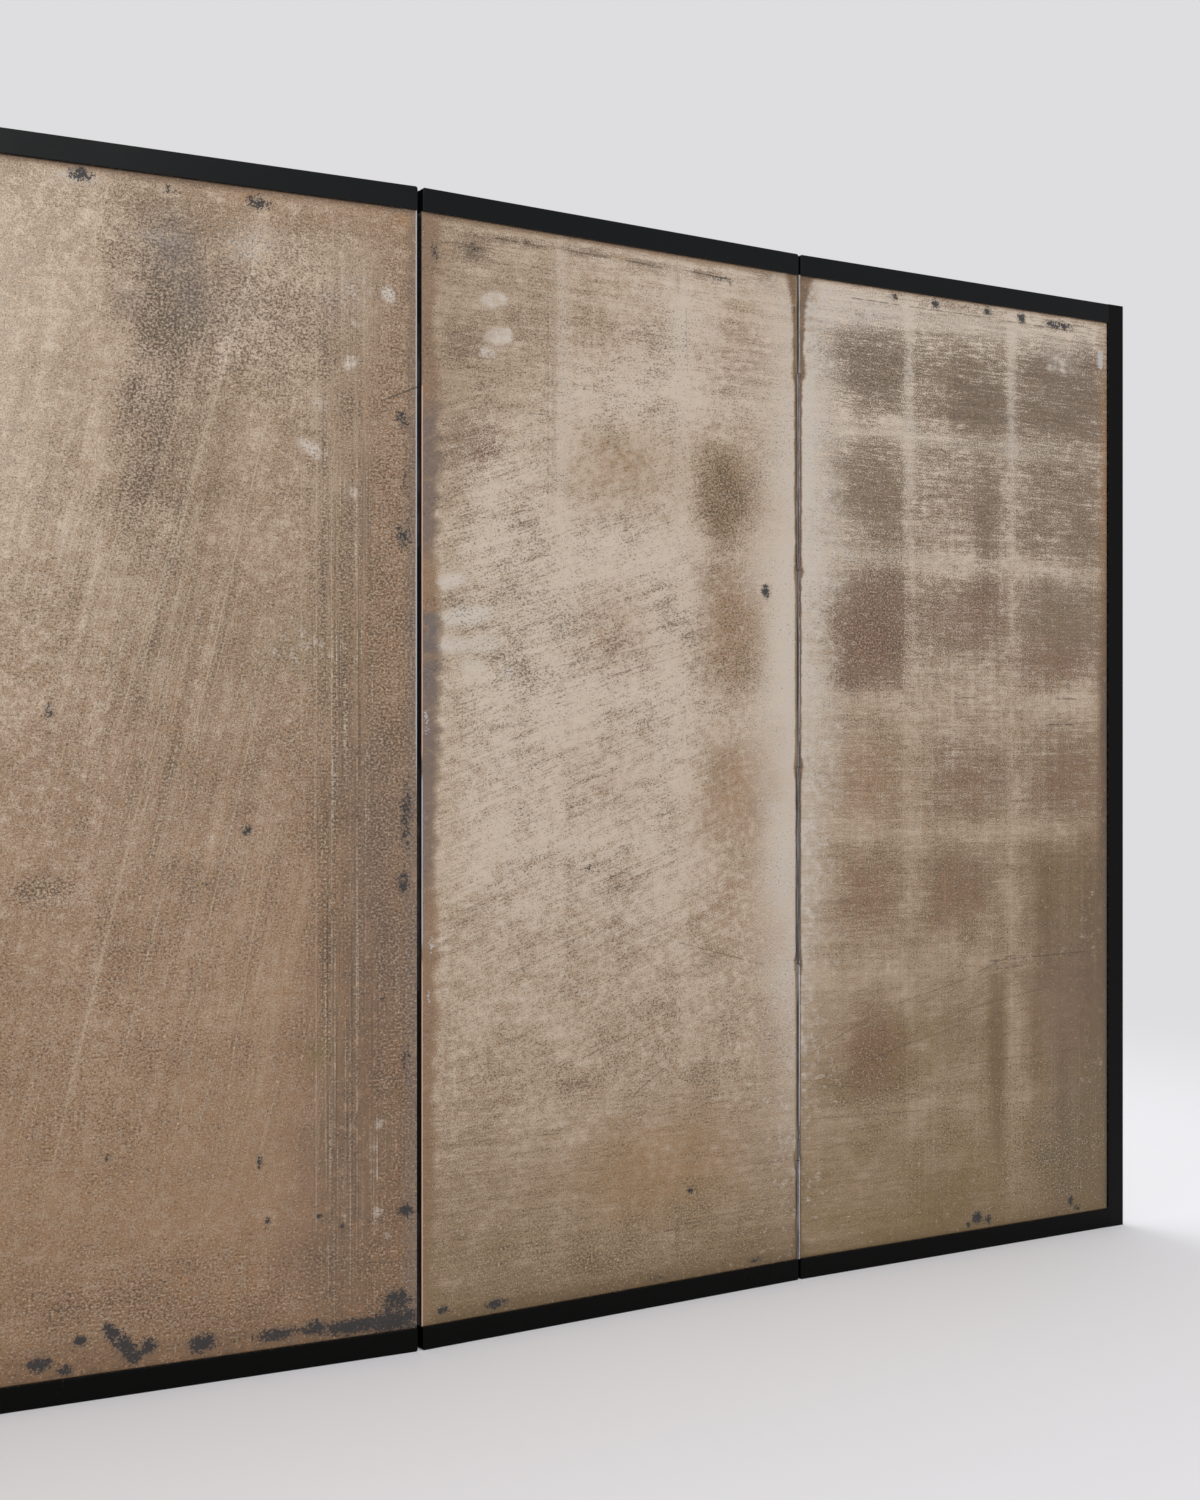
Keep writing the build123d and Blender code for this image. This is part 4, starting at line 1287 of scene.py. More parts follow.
@dataclass(frozen=True)
class BlackLacquer:
    """Black lacquer brushed on wood, rubbed brown at the long edges.

    Attributes:
        name: The pieces it is for.
        node: One of them, whose long edges are rubbed.
        axis: 0 for edges across the screen, 2 for edges up and down.
        ground: The lacquer's colour.
        sheen: How strongly it reflects.
        roughness: From its best polished to its dullest patches.
        worn_width: How far in from an edge the lacquer is rubbed, in millimetres.
    """

    name: str
    node: str
    axis: int
    ground: str
    sheen: float
    roughness: tuple[float, float] = (0.26, 0.4)
    worn_width: float = 2.2

    def material(self) -> bpy.types.Material:
        """Build the material.

        Many thin coats, rubbed down, give a deep black with a soft reflection. Handling
        wears the long edges to brown and leaves pale scuffs a few millimetres long. Faces
        that look along the screen reflect nothing, so that they stay as dark as the shaded gaps:
        painted shade.

        Returns:
            The material, which reads Object coordinates.
        """
        material, tree, shader = new_material(f"Black lacquer on wood, {self.name}")
        coordinates = add(tree, "ShaderNodeTexCoord").outputs
        place = coordinates["Object"]
        axis = add(tree, "ShaderNodeSeparateXYZ", {0: place}).outputs[self.axis]
        low, high = (corner[self.axis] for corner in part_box(self.node))
        middle, half = (low + high) / 2, (high - low) / 2
        apart = add(tree, "ShaderNodeMath", {0: axis, 1: middle}, operation="SUBTRACT").outputs[0]
        apart = add(tree, "ShaderNodeMath", {0: apart}, operation="ABSOLUTE").outputs[0]
        near = add(
            tree, "ShaderNodeMapRange",
            {"Value": apart, "From Min": half - self.worn_width * MM, "From Max": half},
        ).outputs[0]
        recipe = Recipe(
            base=self.ground,
            grains=(Grain("broad", 0, 90, 90, 5, 90), Grain("fine", 0, 3, 3, 4, 3)),
            sums=(
                ("worn", (("near", 0.34), ("fine", 1.0))),
                ("scuffed", (("broad", 0.5), ("fine", 1.0))),
            ),
            layers=(
                Layer("worn edge", "#4A4038", 0.5, (("worn", 0.28, 0.45),)),
                Layer("scuffs", "#6E6C68", 0.5, (("scuffed", 0.25, 0.35),)),
            ),
        )
        made: Made = {"near": near}
        tree.links.new(recipe.follow(tree, place, made), shader.inputs["Base Color"])
        rough = add(
            tree, "ShaderNodeMapRange",
            {"Value": made["broad"], "From Min": -0.2, "From Max": 0.2,
             "To Min": self.roughness[0], "To Max": self.roughness[1]},
        ).outputs[0]
        tree.links.new(rough, shader.inputs["Roughness"])
        # Painted shade: faces that look along the screen lose their reflection and stay dark.
        turned = sideways(tree, coordinates["Normal"])
        sheen = add(
            tree, "ShaderNodeMapRange", {"Value": turned, "To Min": self.sheen, "To Max": 0.0}
        ).outputs[0]
        tree.links.new(sheen, shader.inputs["Specular IOR Level"])
        return material


@dataclass(frozen=True)
class HingePaper:
    """Strong paper pasted over the joints, pale along its crease, partly rubbed and partly painted
    highlight.

    Attributes:
        recipe: Brown flanks, painted shade in the furrows and the gap, a pale crest that is partly
            painted highlight, and fibres.
        roughness: That of unglazed paper.
    """

    recipe: Recipe = Recipe(
        base="#5E4C3F",
        grains=(Grain("fibre", 0, 1.8, 60, 3), Grain("blotch", 0, 9, 9, 5)),
        sums=(("line", (("crest", 1.0), ("blotch", 0.6), ("wear_and_highlight", 0.6))),),
        layers=(
            Layer("flank", "#7E7067", 1.0, (("crest", 0.08, 0.3),)),
            Layer("grey", "#66686A", 0.8, (("grey", 0.0, 1.0),)),
            # Painted shade: a dark furrow partway up each side of the bead.
            Layer("furrow_shade", "#3E332C", 0.7, (("crest", 0.45, 0.62), ("crest", 0.9, 0.7))),
            Layer("dark fibres", "#382A23", 0.75, (("fibre", 0.0, -0.09),)),
            Layer("pale fibres", "#A89C98", 0.5, (("fibre", 0.04, 0.13),)),
            # Partly painted highlight: a pale line along the bead's top, where it is also rubbed.
            Layer("crest", "#D2CECD", 0.9, (("line", 1.18, 1.3),)),
            # Painted shade: the web darkens to near black the deeper it lies in the gap.
            Layer("gap_shade", "#110D0A", 1.0, (("web", 0.1, 0.8),)),
        ),
    )
    roughness: float = 0.72

    def material(self) -> bpy.types.Material:
        """Build the material.

        Handmade paper, brown, with painted shade in a furrow on each side of the bead and a pale
        line along its top, partly rubbed and partly painted highlight. The web in the gap is
        painted near black as shade.

        Returns:
            The material, which reads the leaf's own attributes.
        """
        material, tree, shader = new_material("Handmade hinge paper, pasted and rubbed")
        leaf = add(tree, "ShaderNodeAttribute", attribute_name="leaf")
        split = add(tree, "ShaderNodeSeparateColor", {"Color": leaf.outputs["Color"]}).outputs
        made: Made = {
            "crest": split[0], "wear_and_highlight": split[1], "grey": split[2], "web": leaf.outputs["Alpha"]
        }
        place = add(tree, "ShaderNodeAttribute", attribute_name="sheet").outputs["Vector"]
        tree.links.new(self.recipe.follow(tree, place, made), shader.inputs["Base Color"])
        shader.inputs["Roughness"].default_value = self.roughness
        bump = add(
            tree, "ShaderNodeBump",
            {"Height": made["fibre"], "Strength": 0.4, "Distance": 0.2 * MM},
        ).outputs[0]
        tree.links.new(bump, shader.inputs["Normal"])
        return material


@dataclass(frozen=True)
class PlainPaper:
    """Handmade paper in one colour, aged in cloudy patches.

    Attributes:
        name: What the paper is for.
        ground, aged: Its colour where it is clean and where it has yellowed.
        roughness: That of unglazed paper.
    """

    name: str
    ground: str
    aged: str
    roughness: float = 0.85

    def material(self) -> bpy.types.Material:
        """Build the material.

        Sheets beaten from long fibres have a faint nap and yellow in clouds a hand wide.
        Their edges that face a gap are painted near black, as shade.

        Returns:
            The material, which reads Object coordinates.
        """
        material, tree, shader = new_material(f"Handmade paper, {self.name}")
        coordinates = add(tree, "ShaderNodeTexCoord").outputs
        recipe = Recipe(
            base=self.ground,
            grains=(Grain("cloud", 0, 120, 120, 8, 120), Grain("fibre", 0, 2.5, 2.5, 4, 2.5)),
            sums=(("age", (("cloud", 1.0), ("fibre", 0.35))),),
            layers=(Layer("aged", self.aged, 1.0, (("age", -0.4, 0.4),)), GAP_EDGE_SHADE),
        )
        made: Made = {"sideways": sideways(tree, coordinates["Normal"])}
        colour = recipe.follow(tree, coordinates["Object"], made)
        tree.links.new(colour, shader.inputs["Base Color"])
        shader.inputs["Roughness"].default_value = self.roughness
        bump = add(
            tree, "ShaderNodeBump",
            {"Height": made["fibre"], "Strength": 0.25, "Distance": 0.2 * MM},
        ).outputs[0]
        tree.links.new(bump, shader.inputs["Normal"])
        return material


@dataclass(frozen=True)
class PlanedWood:
    """Planed wood with its grain upright.

    Attributes:
        name: The wood and how it was worked.
        early, late: The colours of its soft and its hard bands.
        band: Width of a grain band, in millimetres.
        roughness: That of bare planed wood.
    """

    name: str
    early: str
    late: str
    band: float
    roughness: float = 0.62

    def material(self) -> bpy.types.Material:
        """Build the material.

        A plane leaves narrow upright bands of soft and hard wood with hardly any shine. The
        faces in a gap are painted near black, as shade.

        Returns:
            The material, which reads Object coordinates.
        """
        material, tree, shader = new_material(self.name)
        coordinates = add(tree, "ShaderNodeTexCoord").outputs
        recipe = Recipe(
            base=self.early,
            grains=(Grain("ring", 0, self.band, self.band, 5, 60 * self.band),),
            layers=(Layer("late wood", self.late, 1.0, (("ring", -0.15, 0.15),)), GAP_EDGE_SHADE),
        )
        made: Made = {"sideways": sideways(tree, coordinates["Normal"])}
        colour = recipe.follow(tree, coordinates["Object"], made)
        tree.links.new(colour, shader.inputs["Base Color"])
        shader.inputs["Roughness"].default_value = self.roughness
        return material


# ---- Sheets -------------------------------------------------------------------------------


@dataclass
class OuterSheet:
    """A finished paper sheet on one side of a panel, drummed a little over the lattice.

    Attributes:
        place: The panel's own frame.
        side: Front or back.
        spacing: Distance between the points of its grid, in millimetres.
        relief: How far the paper stands proud between the bars at most, in millimetres.
        edge_steps: Places of the points near an upright edge, in millimetres from it.
        slow_cell, quick_cell: Sizes of its broad and its small waves, in millimetres.
        rim_width: How far in from the rim the waves fade in, in millimetres.
    """

    place: PanelPlace
    side: Side
    spacing: float
    relief: float
    edge_steps: tuple[float, ...] = (0.0, 0.8, 1.8, 3.2, 5.0)
    slow_cell: float = 150.0
    quick_cell: float = 22.0
    rim_width: float = 12.0

    def grid(self, low: np.ndarray, high: np.ndarray) -> tuple[np.ndarray, np.ndarray]:
        """Places across and up the sheet, even inside and closer at the upright edges.

        Args:
            low, high: The sheet's lowest and highest corner in the panel's frame.

        Returns:
            x and z of every point, as (row, column).
        """
        edge = np.array(self.edge_steps)
        count = round((high[0] - low[0] - 2 * edge[-1]) / self.spacing)
        inside = np.linspace(low[0] + edge[-1], high[0] - edge[-1], count + 1)
        across = np.unique(np.concatenate([low[0] + edge, inside, high[0] - edge]))
        upward = np.linspace(low[2], high[2], round((high[2] - low[2]) / self.spacing) + 1)
        return np.meshgrid(across, upward)

    def drum(self, u: np.ndarray, v: np.ndarray, width: float, height: float) -> np.ndarray:
        """How far the paper stands proud.

        The root of |sin| across times |sin| up the lattice rises in each cell and falls to
        the bars. Broad and small waves of noise are added, and everything fades to nothing
        at the sheet's rim.

        Args:
            u, v: Places on the sheet, in millimetres.
            width, height: The sheet's size.

        Returns:
            Heights in millimetres.
        """
        cell = np.abs(np.sin(math.pi * u / width * LATTICE_COLUMNS))
        cell = np.sqrt(cell * np.abs(np.sin(math.pi * v / height * LATTICE_ROWS)))
        slow = soft_noise(u, v, self.slow_cell, SLOW_SEED + self.place.number)
        quick = soft_noise(u, v, self.quick_cell, QUICK_SEED + self.place.number)
        waves = (0.35 * cell + 0.6 * slow + 0.16 * quick) / 1.1
        rim = np.minimum(np.minimum(u, width - u), np.minimum(v, height - v))
        return self.relief * np.clip(rim / self.rim_width, 0, 1) * waves

    def build(self, node: str, name: str) -> tuple[bpy.types.Object, np.ndarray, np.ndarray]:
        """Build the sheet where its CAD node is, and let it stand for that node.

        Each row is a closed profile: the shown face from left to right, then the two corners
        of the pasted face.

        Args:
            node: The CAD node.
            name: The new piece's name.

        Returns:
            The piece, and its points' places on the sheet across and down.
        """
        low, high = self.place.extent(node)
        x, z = self.grid(low, high)
        shown, pasted = (low[1], high[1]) if self.side is Side.FRONT else (high[1], low[1])
        width, height = high[0] - low[0], high[2] - low[2]
        u, v = x - low[0], high[2] - z
        y = shown + self.side.value * self.drum(u, v, width, height)
        corner_x = np.broadcast_to([high[0], low[0]], (len(x), 2))
        face = self.place.world(x, y, z)
        back = self.place.world(corner_x, np.full_like(corner_x, pasted), z[:, :1])
        piece = Shell.swept(np.concatenate([face, back], axis=1)).make(name)
        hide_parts(node)
        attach(piece, self.place.body)
        panel_edge = self.place.extent(f"{self.place.body}_bottom_rail")[0][0]
        u = np.concatenate([x, corner_x], axis=1) - panel_edge
        v = np.concatenate([v, v[:, :1], v[:, :1]], axis=1)
        through = np.full_like(u, SHEET_STEP * self.place.number)
        write_attribute(piece.data, "sheet", np.stack([u, height - v, through], -1) * MM)
        return piece, u, v


@dataclass
class SilverFace(OuterSheet):
    """The silvered front sheet and its patina.

    Attributes:
        outermost: Width of the very edge that gets a painted highlight, pale or copper, in
            millimetres.
        ragged: Size of the waves along a seam's inner edge, in millimetres.
    """

    outermost: float = 1.0
    ragged: float = 9.0

    def soil(
        self, fields: dict[Field, np.ndarray], seam: Seam, apart: np.ndarray, v: np.ndarray
    ) -> None:
        """Soil the sheet beside one hinge and paint a highlight on its outermost edge.

        Soil lies for 1.6 (1.35 - distance / width), kept between 0 and 1, with the width
        unsteady and 1.2 mm more than the seam's.

        Args:
            fields: The patina's fields, which are changed.
            seam: The soiled line.
            apart: Each point's distance from the hinge's edge, in millimetres.
            v: Its place down the sheet, in millimetres.
        """
        wave = soft_noise(v, v * 0, self.ragged, SEAM_SEED + self.place.number)
        unsteady = 0.6 + 0.8 * wave
        width = np.interp(v, *zip(*seam.widths)) * unsteady + 1.2
        near = np.clip((1.35 - apart / width) * 1.6, 0, 1)
        slate = np.interp(v, *zip(*seam.slate))
        for name, aim in (
            (Field.TONE, seam.tone), (Field.TAN, seam.tan), (Field.GLOW, 0.0),
            (Field.SLATE, slate),
        ):
            fields[name] = fields[name] * (1 - near) + aim * near
        # Painted highlight along the sheet's outermost edge: pale, or copper where the amount is
        # negative.
        rubbed = np.interp(v, *zip(*seam.rim)) * (unsteady + 0.3)
        fields[Field.RIM] = np.where(apart < self.outermost, rubbed, fields[Field.RIM])

    def paint(self, piece: bpy.types.Object, u: np.ndarray, v: np.ndarray) -> None:
        """Store the patina's fields on the sheet.

        Args:
            piece: The sheet.
            u, v: Its points' places across and down, in millimetres.
        """
        number = self.place.number
        patina = PATINA[number]
        width = 2 * abs(self.place.extent(f"{self.place.body}_bottom_rail")[0][0])
        seed = PATINA_SEED + 10 * number
        fields = patina.painted(u, v, (width, float(v.max())), seed)
        for seam, apart in ((patina.left, u), (patina.right, width - u)):
            if seam:
                self.soil(fields, seam, apart, v)
        # The tone darkens and browns a few millimetres along the two rails.
        brown = np.clip(1.7 - np.minimum(v, v.max() - v) / 2.2, 0, 1)
        fields[Field.TONE] = fields[Field.TONE] + 0.4 * brown
        fields[Field.TAN] = np.maximum(fields[Field.TAN], 0.5 * brown)
        for attribute in Field.attributes():
            values = np.zeros((*u.shape, 4))
            for name in Field:
                if name.value[0] == attribute:
                    values[..., name.value[1]] = fields[name]
            write_attribute(piece.data, attribute, values)


# ---- Paper hinges -------------------------------------------------------------------------


@dataclass
class HingeSide:
    """The paper of one hinge that stays with one panel: six leaves, split at the crease.

    A leaf's section is given by its distance inwards from the pivot's plane and its depth
    below the rails' surface on the creased side, in millimetres.

    Attributes:
        place: The panel's own frame.
        node: The CAD node that it stands for.
        toward: 1 at the panel's right edge, -1 at its left edge.
        fold: Valley or mountain.
        wear_and_highlight: How pale the crest is at several heights, as (z, value), partly painted
            highlight.
        grey: How grey the bead is at several heights, as (z, value).
        half_width, half_depth: Half the width and the depth of a panel's lacquered frame.
        layer: Thickness of the paper.
        flap: Width that is pasted to the panel.
        slit: Space between two leaves.
        crease_clearance, crest_clearance: Space to the pivot's plane and to the rails' surface.
        paper_depths: Depth of the layer that a leaf is pasted in, at the front and the back.
        half_gaps: Half the gap between two panels at a valley and at a mountain.
        leaves: Leaves in one hinge, counting the halves at both ends.
        row_spacing: Distance between rows of points.
        arc_points: Points of a quarter round.
        gap_shade: Depths where the painted shade in the gap begins and where it is complete.
        doubled: How much wider the bead is at both ends of a leaf.
        wave: Length of its unevenness.
    """

    place: PanelPlace
    node: str
    toward: int
    fold: Fold
    wear_and_highlight: Marks
    grey: Marks
    half_width: float = 251.0
    half_depth: float = 9.0
    layer: float = 0.6
    flap: float = 28.0
    slit: float = 0.8
    crease_clearance: float = 0.2
    crest_clearance: float = 0.3
    paper_depths: tuple[float, float] = (3.5, 1.7)
    half_gaps: tuple[float, float] = (1.5, 2.0)
    leaves: int = 6
    row_spacing: float = 3.5
    arc_points: int = 9
    gap_shade: tuple[float, float] = (4.5, 6.0)
    doubled: float = 1.1
    wave: float = 16.0

    @property
    def half_gap(self) -> float:
        """Half the gap between the two panels."""
        return self.half_gaps[0] if self.fold is Fold.VALLEY else self.half_gaps[1]

    def depth_of(self, side: Side) -> float:
        """Depth of the layer that the leaves are pasted in, below the rails' surface."""
        return self.paper_depths[0] if side is Side.FRONT else self.paper_depths[1]

    def spans(self) -> list[tuple[float, float]]:
        """Where each leaf lies: half a leaf, four whole ones and half a leaf.

        Returns:
            The bottom and top of each leaf, in millimetres.
        """
        low, high = self.place.extent(self.node)
        share = (high[2] - low[2]) / (self.leaves - 1)
        cuts = [low[2] + share * (k + 0.5) for k in range(self.leaves - 1)]
        bottoms = [low[2], *(cut + self.slit / 2 for cut in cuts)]
        tops = [*(cut - self.slit / 2 for cut in cuts), high[2]]
        return list(zip(bottoms, tops))

    def quarter(self, depth: np.ndarray, wide: np.ndarray, tall: np.ndarray) -> np.ndarray:
        """A quarter of an ellipse from the panel's side up to the crease.

        Inward is the clearance plus wide times cos t, and depth falls by tall times sin t.

        Args:
            depth: Depth of the quarter's foot, one per row.
            wide, tall: Its half axes, one per row.

        Returns:
            Inward distances and depths, as (row, point, 2).
        """
        t = np.linspace(0, math.pi / 2, self.arc_points)
        inward = self.crease_clearance + wide[:, None] * np.cos(t)
        return np.stack([inward, depth[:, None] - tall[:, None] * np.sin(t)], axis=-1)

    def web_section(self, uneven: np.ndarray) -> np.ndarray:
        """Section of a leaf that comes through the gap from the other broad side.

        It runs from the flap there, along the panel's edge, and over the edge's near corner
        by a quarter round that noise lowers by up to 0.35 mm.

        Args:
            uneven: Noise from 0 to 1 for each row.

        Returns:
            The closed section, as (row, point, 2).
        """
        ones = np.ones_like(uneven)
        far = 2 * self.half_depth - self.depth_of(Side(-self.fold.value.value))
        near = far - self.layer
        flap_end = self.half_gap + self.flap
        radius = self.half_gap + self.layer - self.crease_clearance
        tall = radius - 0.35 * uneven
        foot = self.crest_clearance + radius * ones
        core_side = self.quarter(foot, radius * ones, tall)
        gap_side = self.quarter(foot, (radius - self.layer) * ones, tall - self.layer)
        corners = np.array(
            [(self.half_gap, far), (flap_end, far), (flap_end, near),
             (self.half_gap + self.layer, near)]
        )
        fixed = np.broadcast_to(corners, (len(uneven), *corners.shape))
        return np.concatenate([fixed, core_side, gap_side[:, ::-1]], axis=1)

    def bead_section(self, z: np.ndarray, uneven: np.ndarray) -> np.ndarray:
        """Section of a leaf that is pasted on the creased side and stands up in a bead.

        Noise narrows the bead by up to a fifth and lowers it by up to a seventh. At both
        ends of a leaf, where the paper is doubled, it is wider by exp(-(d / 5 mm)^2) of
        `doubled`, d the distance from the end.

        Args:
            z: The rows' heights.
            uneven: Noise from 0 to 1 for each row.

        Returns:
            The closed section, as (row, point, 2).
        """
        ones = np.ones_like(z)
        at_end = np.exp(-((np.minimum(z - z[0], z[-1] - z) / 5) ** 2))
        foot = self.depth_of(self.fold.value)
        radius = foot - self.crest_clearance
        wide = radius * (0.8 + 0.2 * uneven) + self.doubled * at_end
        tall = radius * (0.86 + 0.14 * uneven)
        outer = self.quarter(foot * ones, wide, tall)
        inner = self.quarter(foot * ones, wide - self.layer, tall - self.layer)
        start, turn, close = (
            np.stack([inward, depth * ones], axis=-1)[:, None]
            for inward, depth in (
                ((self.half_gap + self.flap) * ones, foot),
                (inner[:, 0, 0], foot + self.layer),
                ((self.half_gap + self.flap) * ones, foot + self.layer),
            )
        )
        return np.concatenate([start, outer, inner[:, ::-1], turn, close], axis=1)

    def section(self, z: np.ndarray, has_web: bool, seed: int) -> tuple[np.ndarray, np.ndarray]:
        """The leaf's closed section at every row, uneven along the joint.

        Args:
            z: The rows' heights.
            has_web: Whether the leaf passes through the gap on this panel's side.
            seed: Fixes the unevenness.

        Returns:
            The section as (row, point, 2), and for each point how near the crest it is.
        """
        uneven = soft_noise(z, z * 0, self.wave, seed)
        near = 1 - np.cos(np.linspace(0, math.pi / 2, self.arc_points))
        if has_web:
            return self.web_section(uneven), np.concatenate([np.zeros(4), near, near[::-1]])
        return self.bead_section(z, uneven), np.concatenate([[0], near, near[::-1], [0, 0]])

    def build(self) -> bpy.types.Object:
        """Build the six leaves as one piece that stands for the CAD node.

        Returns:
            The piece, with its attributes.
        """
        side = self.fold.value
        shells, colours, places = [], [], []
        for leaf, (bottom, top) in enumerate(self.spans()):
            z = np.linspace(bottom, top, round((top - bottom) / self.row_spacing) + 1)
            has_web = (leaf % 2 == 1) == (self.toward > 0)
            seed = LEAF_SEED + leaf + 10 * self.place.number
            loop, crest = self.section(z, has_web, seed)
            x = self.toward * (self.half_width + self.half_gap - loop[..., 0])
            y = side.value * (self.half_depth - loop[..., 1])
            shells.append(Shell.swept(self.place.world(x, y, z[:, None])))
            rows = np.broadcast_to(z[:, None], x.shape)
            tones = [
                np.broadcast_to(crest, x.shape),
                np.interp(rows, *zip(*self.wear_and_highlight)),
                np.interp(rows, *zip(*self.grey)),
                # Painted shade: a point's depth in the gap sets how dark it is painted.
                np.interp(loop[..., 1], self.gap_shade, (0, 1)),
            ]
            colours.append(np.stack(tones, -1).reshape(-1, 4))
            through = np.full_like(x, LEAF_STEP * leaf)
            places.append(np.stack([x, rows, through], -1).reshape(-1, 3))
        piece = Shell.joined(shells).make(f"{self.node}_paper", crease=50)
        write_attribute(piece.data, "leaf", np.concatenate(colours))
        write_attribute(piece.data, "sheet", np.concatenate(places) * MM)
        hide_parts(self.node)
        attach(piece, self.place.body)
        return piece


# ---- Assemblies ---------------------------------------------------------------------------


@dataclass
class Panel:
    """One panel: lattice core, linings, sheets, rails and pegs.

    Attributes:
        place: The panel's own frame.
        finishes: The materials by name.
        front_spacing, back_spacing: Distance between a sheet's points, in millimetres.
        relief: How far the sheets are drummed, in millimetres.
    """

    place: PanelPlace
    finishes: dict[str, bpy.types.Material]
    front_spacing: float = 3.0
    back_spacing: float = 6.0
    relief: float = 0.45

    def build(self) -> None:
        """Build the two outer sheets and dress every piece of the panel."""
        name = self.place.body
        front = SilverFace(self.place, Side.FRONT, self.front_spacing, self.relief)
        face, u, v = front.build(f"{name}_silver_face", f"{name}_silver_leaf_sheet")
        front.paint(face, u, v)
        dress(face, self.finishes["silver"])
        back = OuterSheet(self.place, Side.BACK, self.back_spacing, self.relief)
        paper, _, _ = back.build(f"{name}_back_paper", f"{name}_back_sheet")
        dress(paper, self.finishes["back"])
        for part, finish, slot in (
            ("core", "cedar", "cedar"),
            ("linings", "lining", "lining_paper"),
            ("top_rail", "top rail", "black_lacquer"),
            ("bottom_rail", "bottom rail", "black_lacquer"),
            ("pegs", "bamboo", "bamboo"),
        ):
            dress(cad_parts[f"{name}_{part}"], self.finishes[finish])
        log.info("%s: two sheets, core, linings, rails and pegs", name)


@dataclass
class PaperHinges:
    """All paper hinges of the screen.

    Attributes:
        places: Each panel's own frame.
        finish: The paper's material.
        wear_and_highlight, grey: How pale the crests are, partly as painted highlight, and how grey
            the beads are, as (z, value).
    """

    places: dict[int, PanelPlace]
    finish: bpy.types.Material
    wear_and_highlight: Marks = (
        (24, 0.55), (130, 0.75), (150, 0.35), (255, 0.7), (365, 0.75), (378, 0.3), (480, 0.2),
        (600, 0.3), (720, 0.55), (840, 0.3), (960, 0.45), (1060, 0.3), (1090, 0.56),
        (1188, 0.62),
    )
    grey: Marks = (
        (24, 0.7), (250, 0.9), (400, 0.8), (560, 0.6), (700, 0.3), (900, 0.2), (1188, 0.15),
    )

    def build(self) -> None:
        """Build both sides of every hinge, valley and mountain by turns."""
        for right in range(1, PANELS):
            fold = Fold.VALLEY if right % 2 == 1 else Fold.MOUNTAIN
            for number, toward, end in ((right, -1, "right"), (right + 1, 1, "left")):
                node = f"paper_hinge_{right}_{right + 1}_{end}"
                place = self.places[number]
                side = HingeSide(place, node, toward, fold, self.wear_and_highlight, self.grey)
                dress(side.build(), self.finish)
            log.info("hinge %d-%d: %s", right, right + 1, fold.name.lower())


@dataclass(frozen=True)
class Lamp:
    """One soft rectangular lamp.

    Attributes:
        name: The lamp's name.
        at: Where it hangs, in metres.
        aim: The point it faces.
        size: Its width and height.
        watts: Its power.
    """

    name: str
    at: tuple[float, float, float]
    aim: tuple[float, float, float]
    size: tuple[float, float]
    watts: float

    def hang(self) -> None:
        """Put the lamp into the scene, turned to its aim."""
        data = bpy.data.lights.new(self.name, "AREA")
        data.shape = "RECTANGLE"
        data.size, data.size_y = self.size
        data.energy = self.watts
        lamp = bpy.data.objects.new(self.name, data)
        lamp.location = self.at
        facing = Vector(self.aim) - Vector(self.at)
        lamp.rotation_euler = facing.to_track_quat("-Z", "Y").to_euler()
        bpy.context.scene.collection.objects.link(lamp)


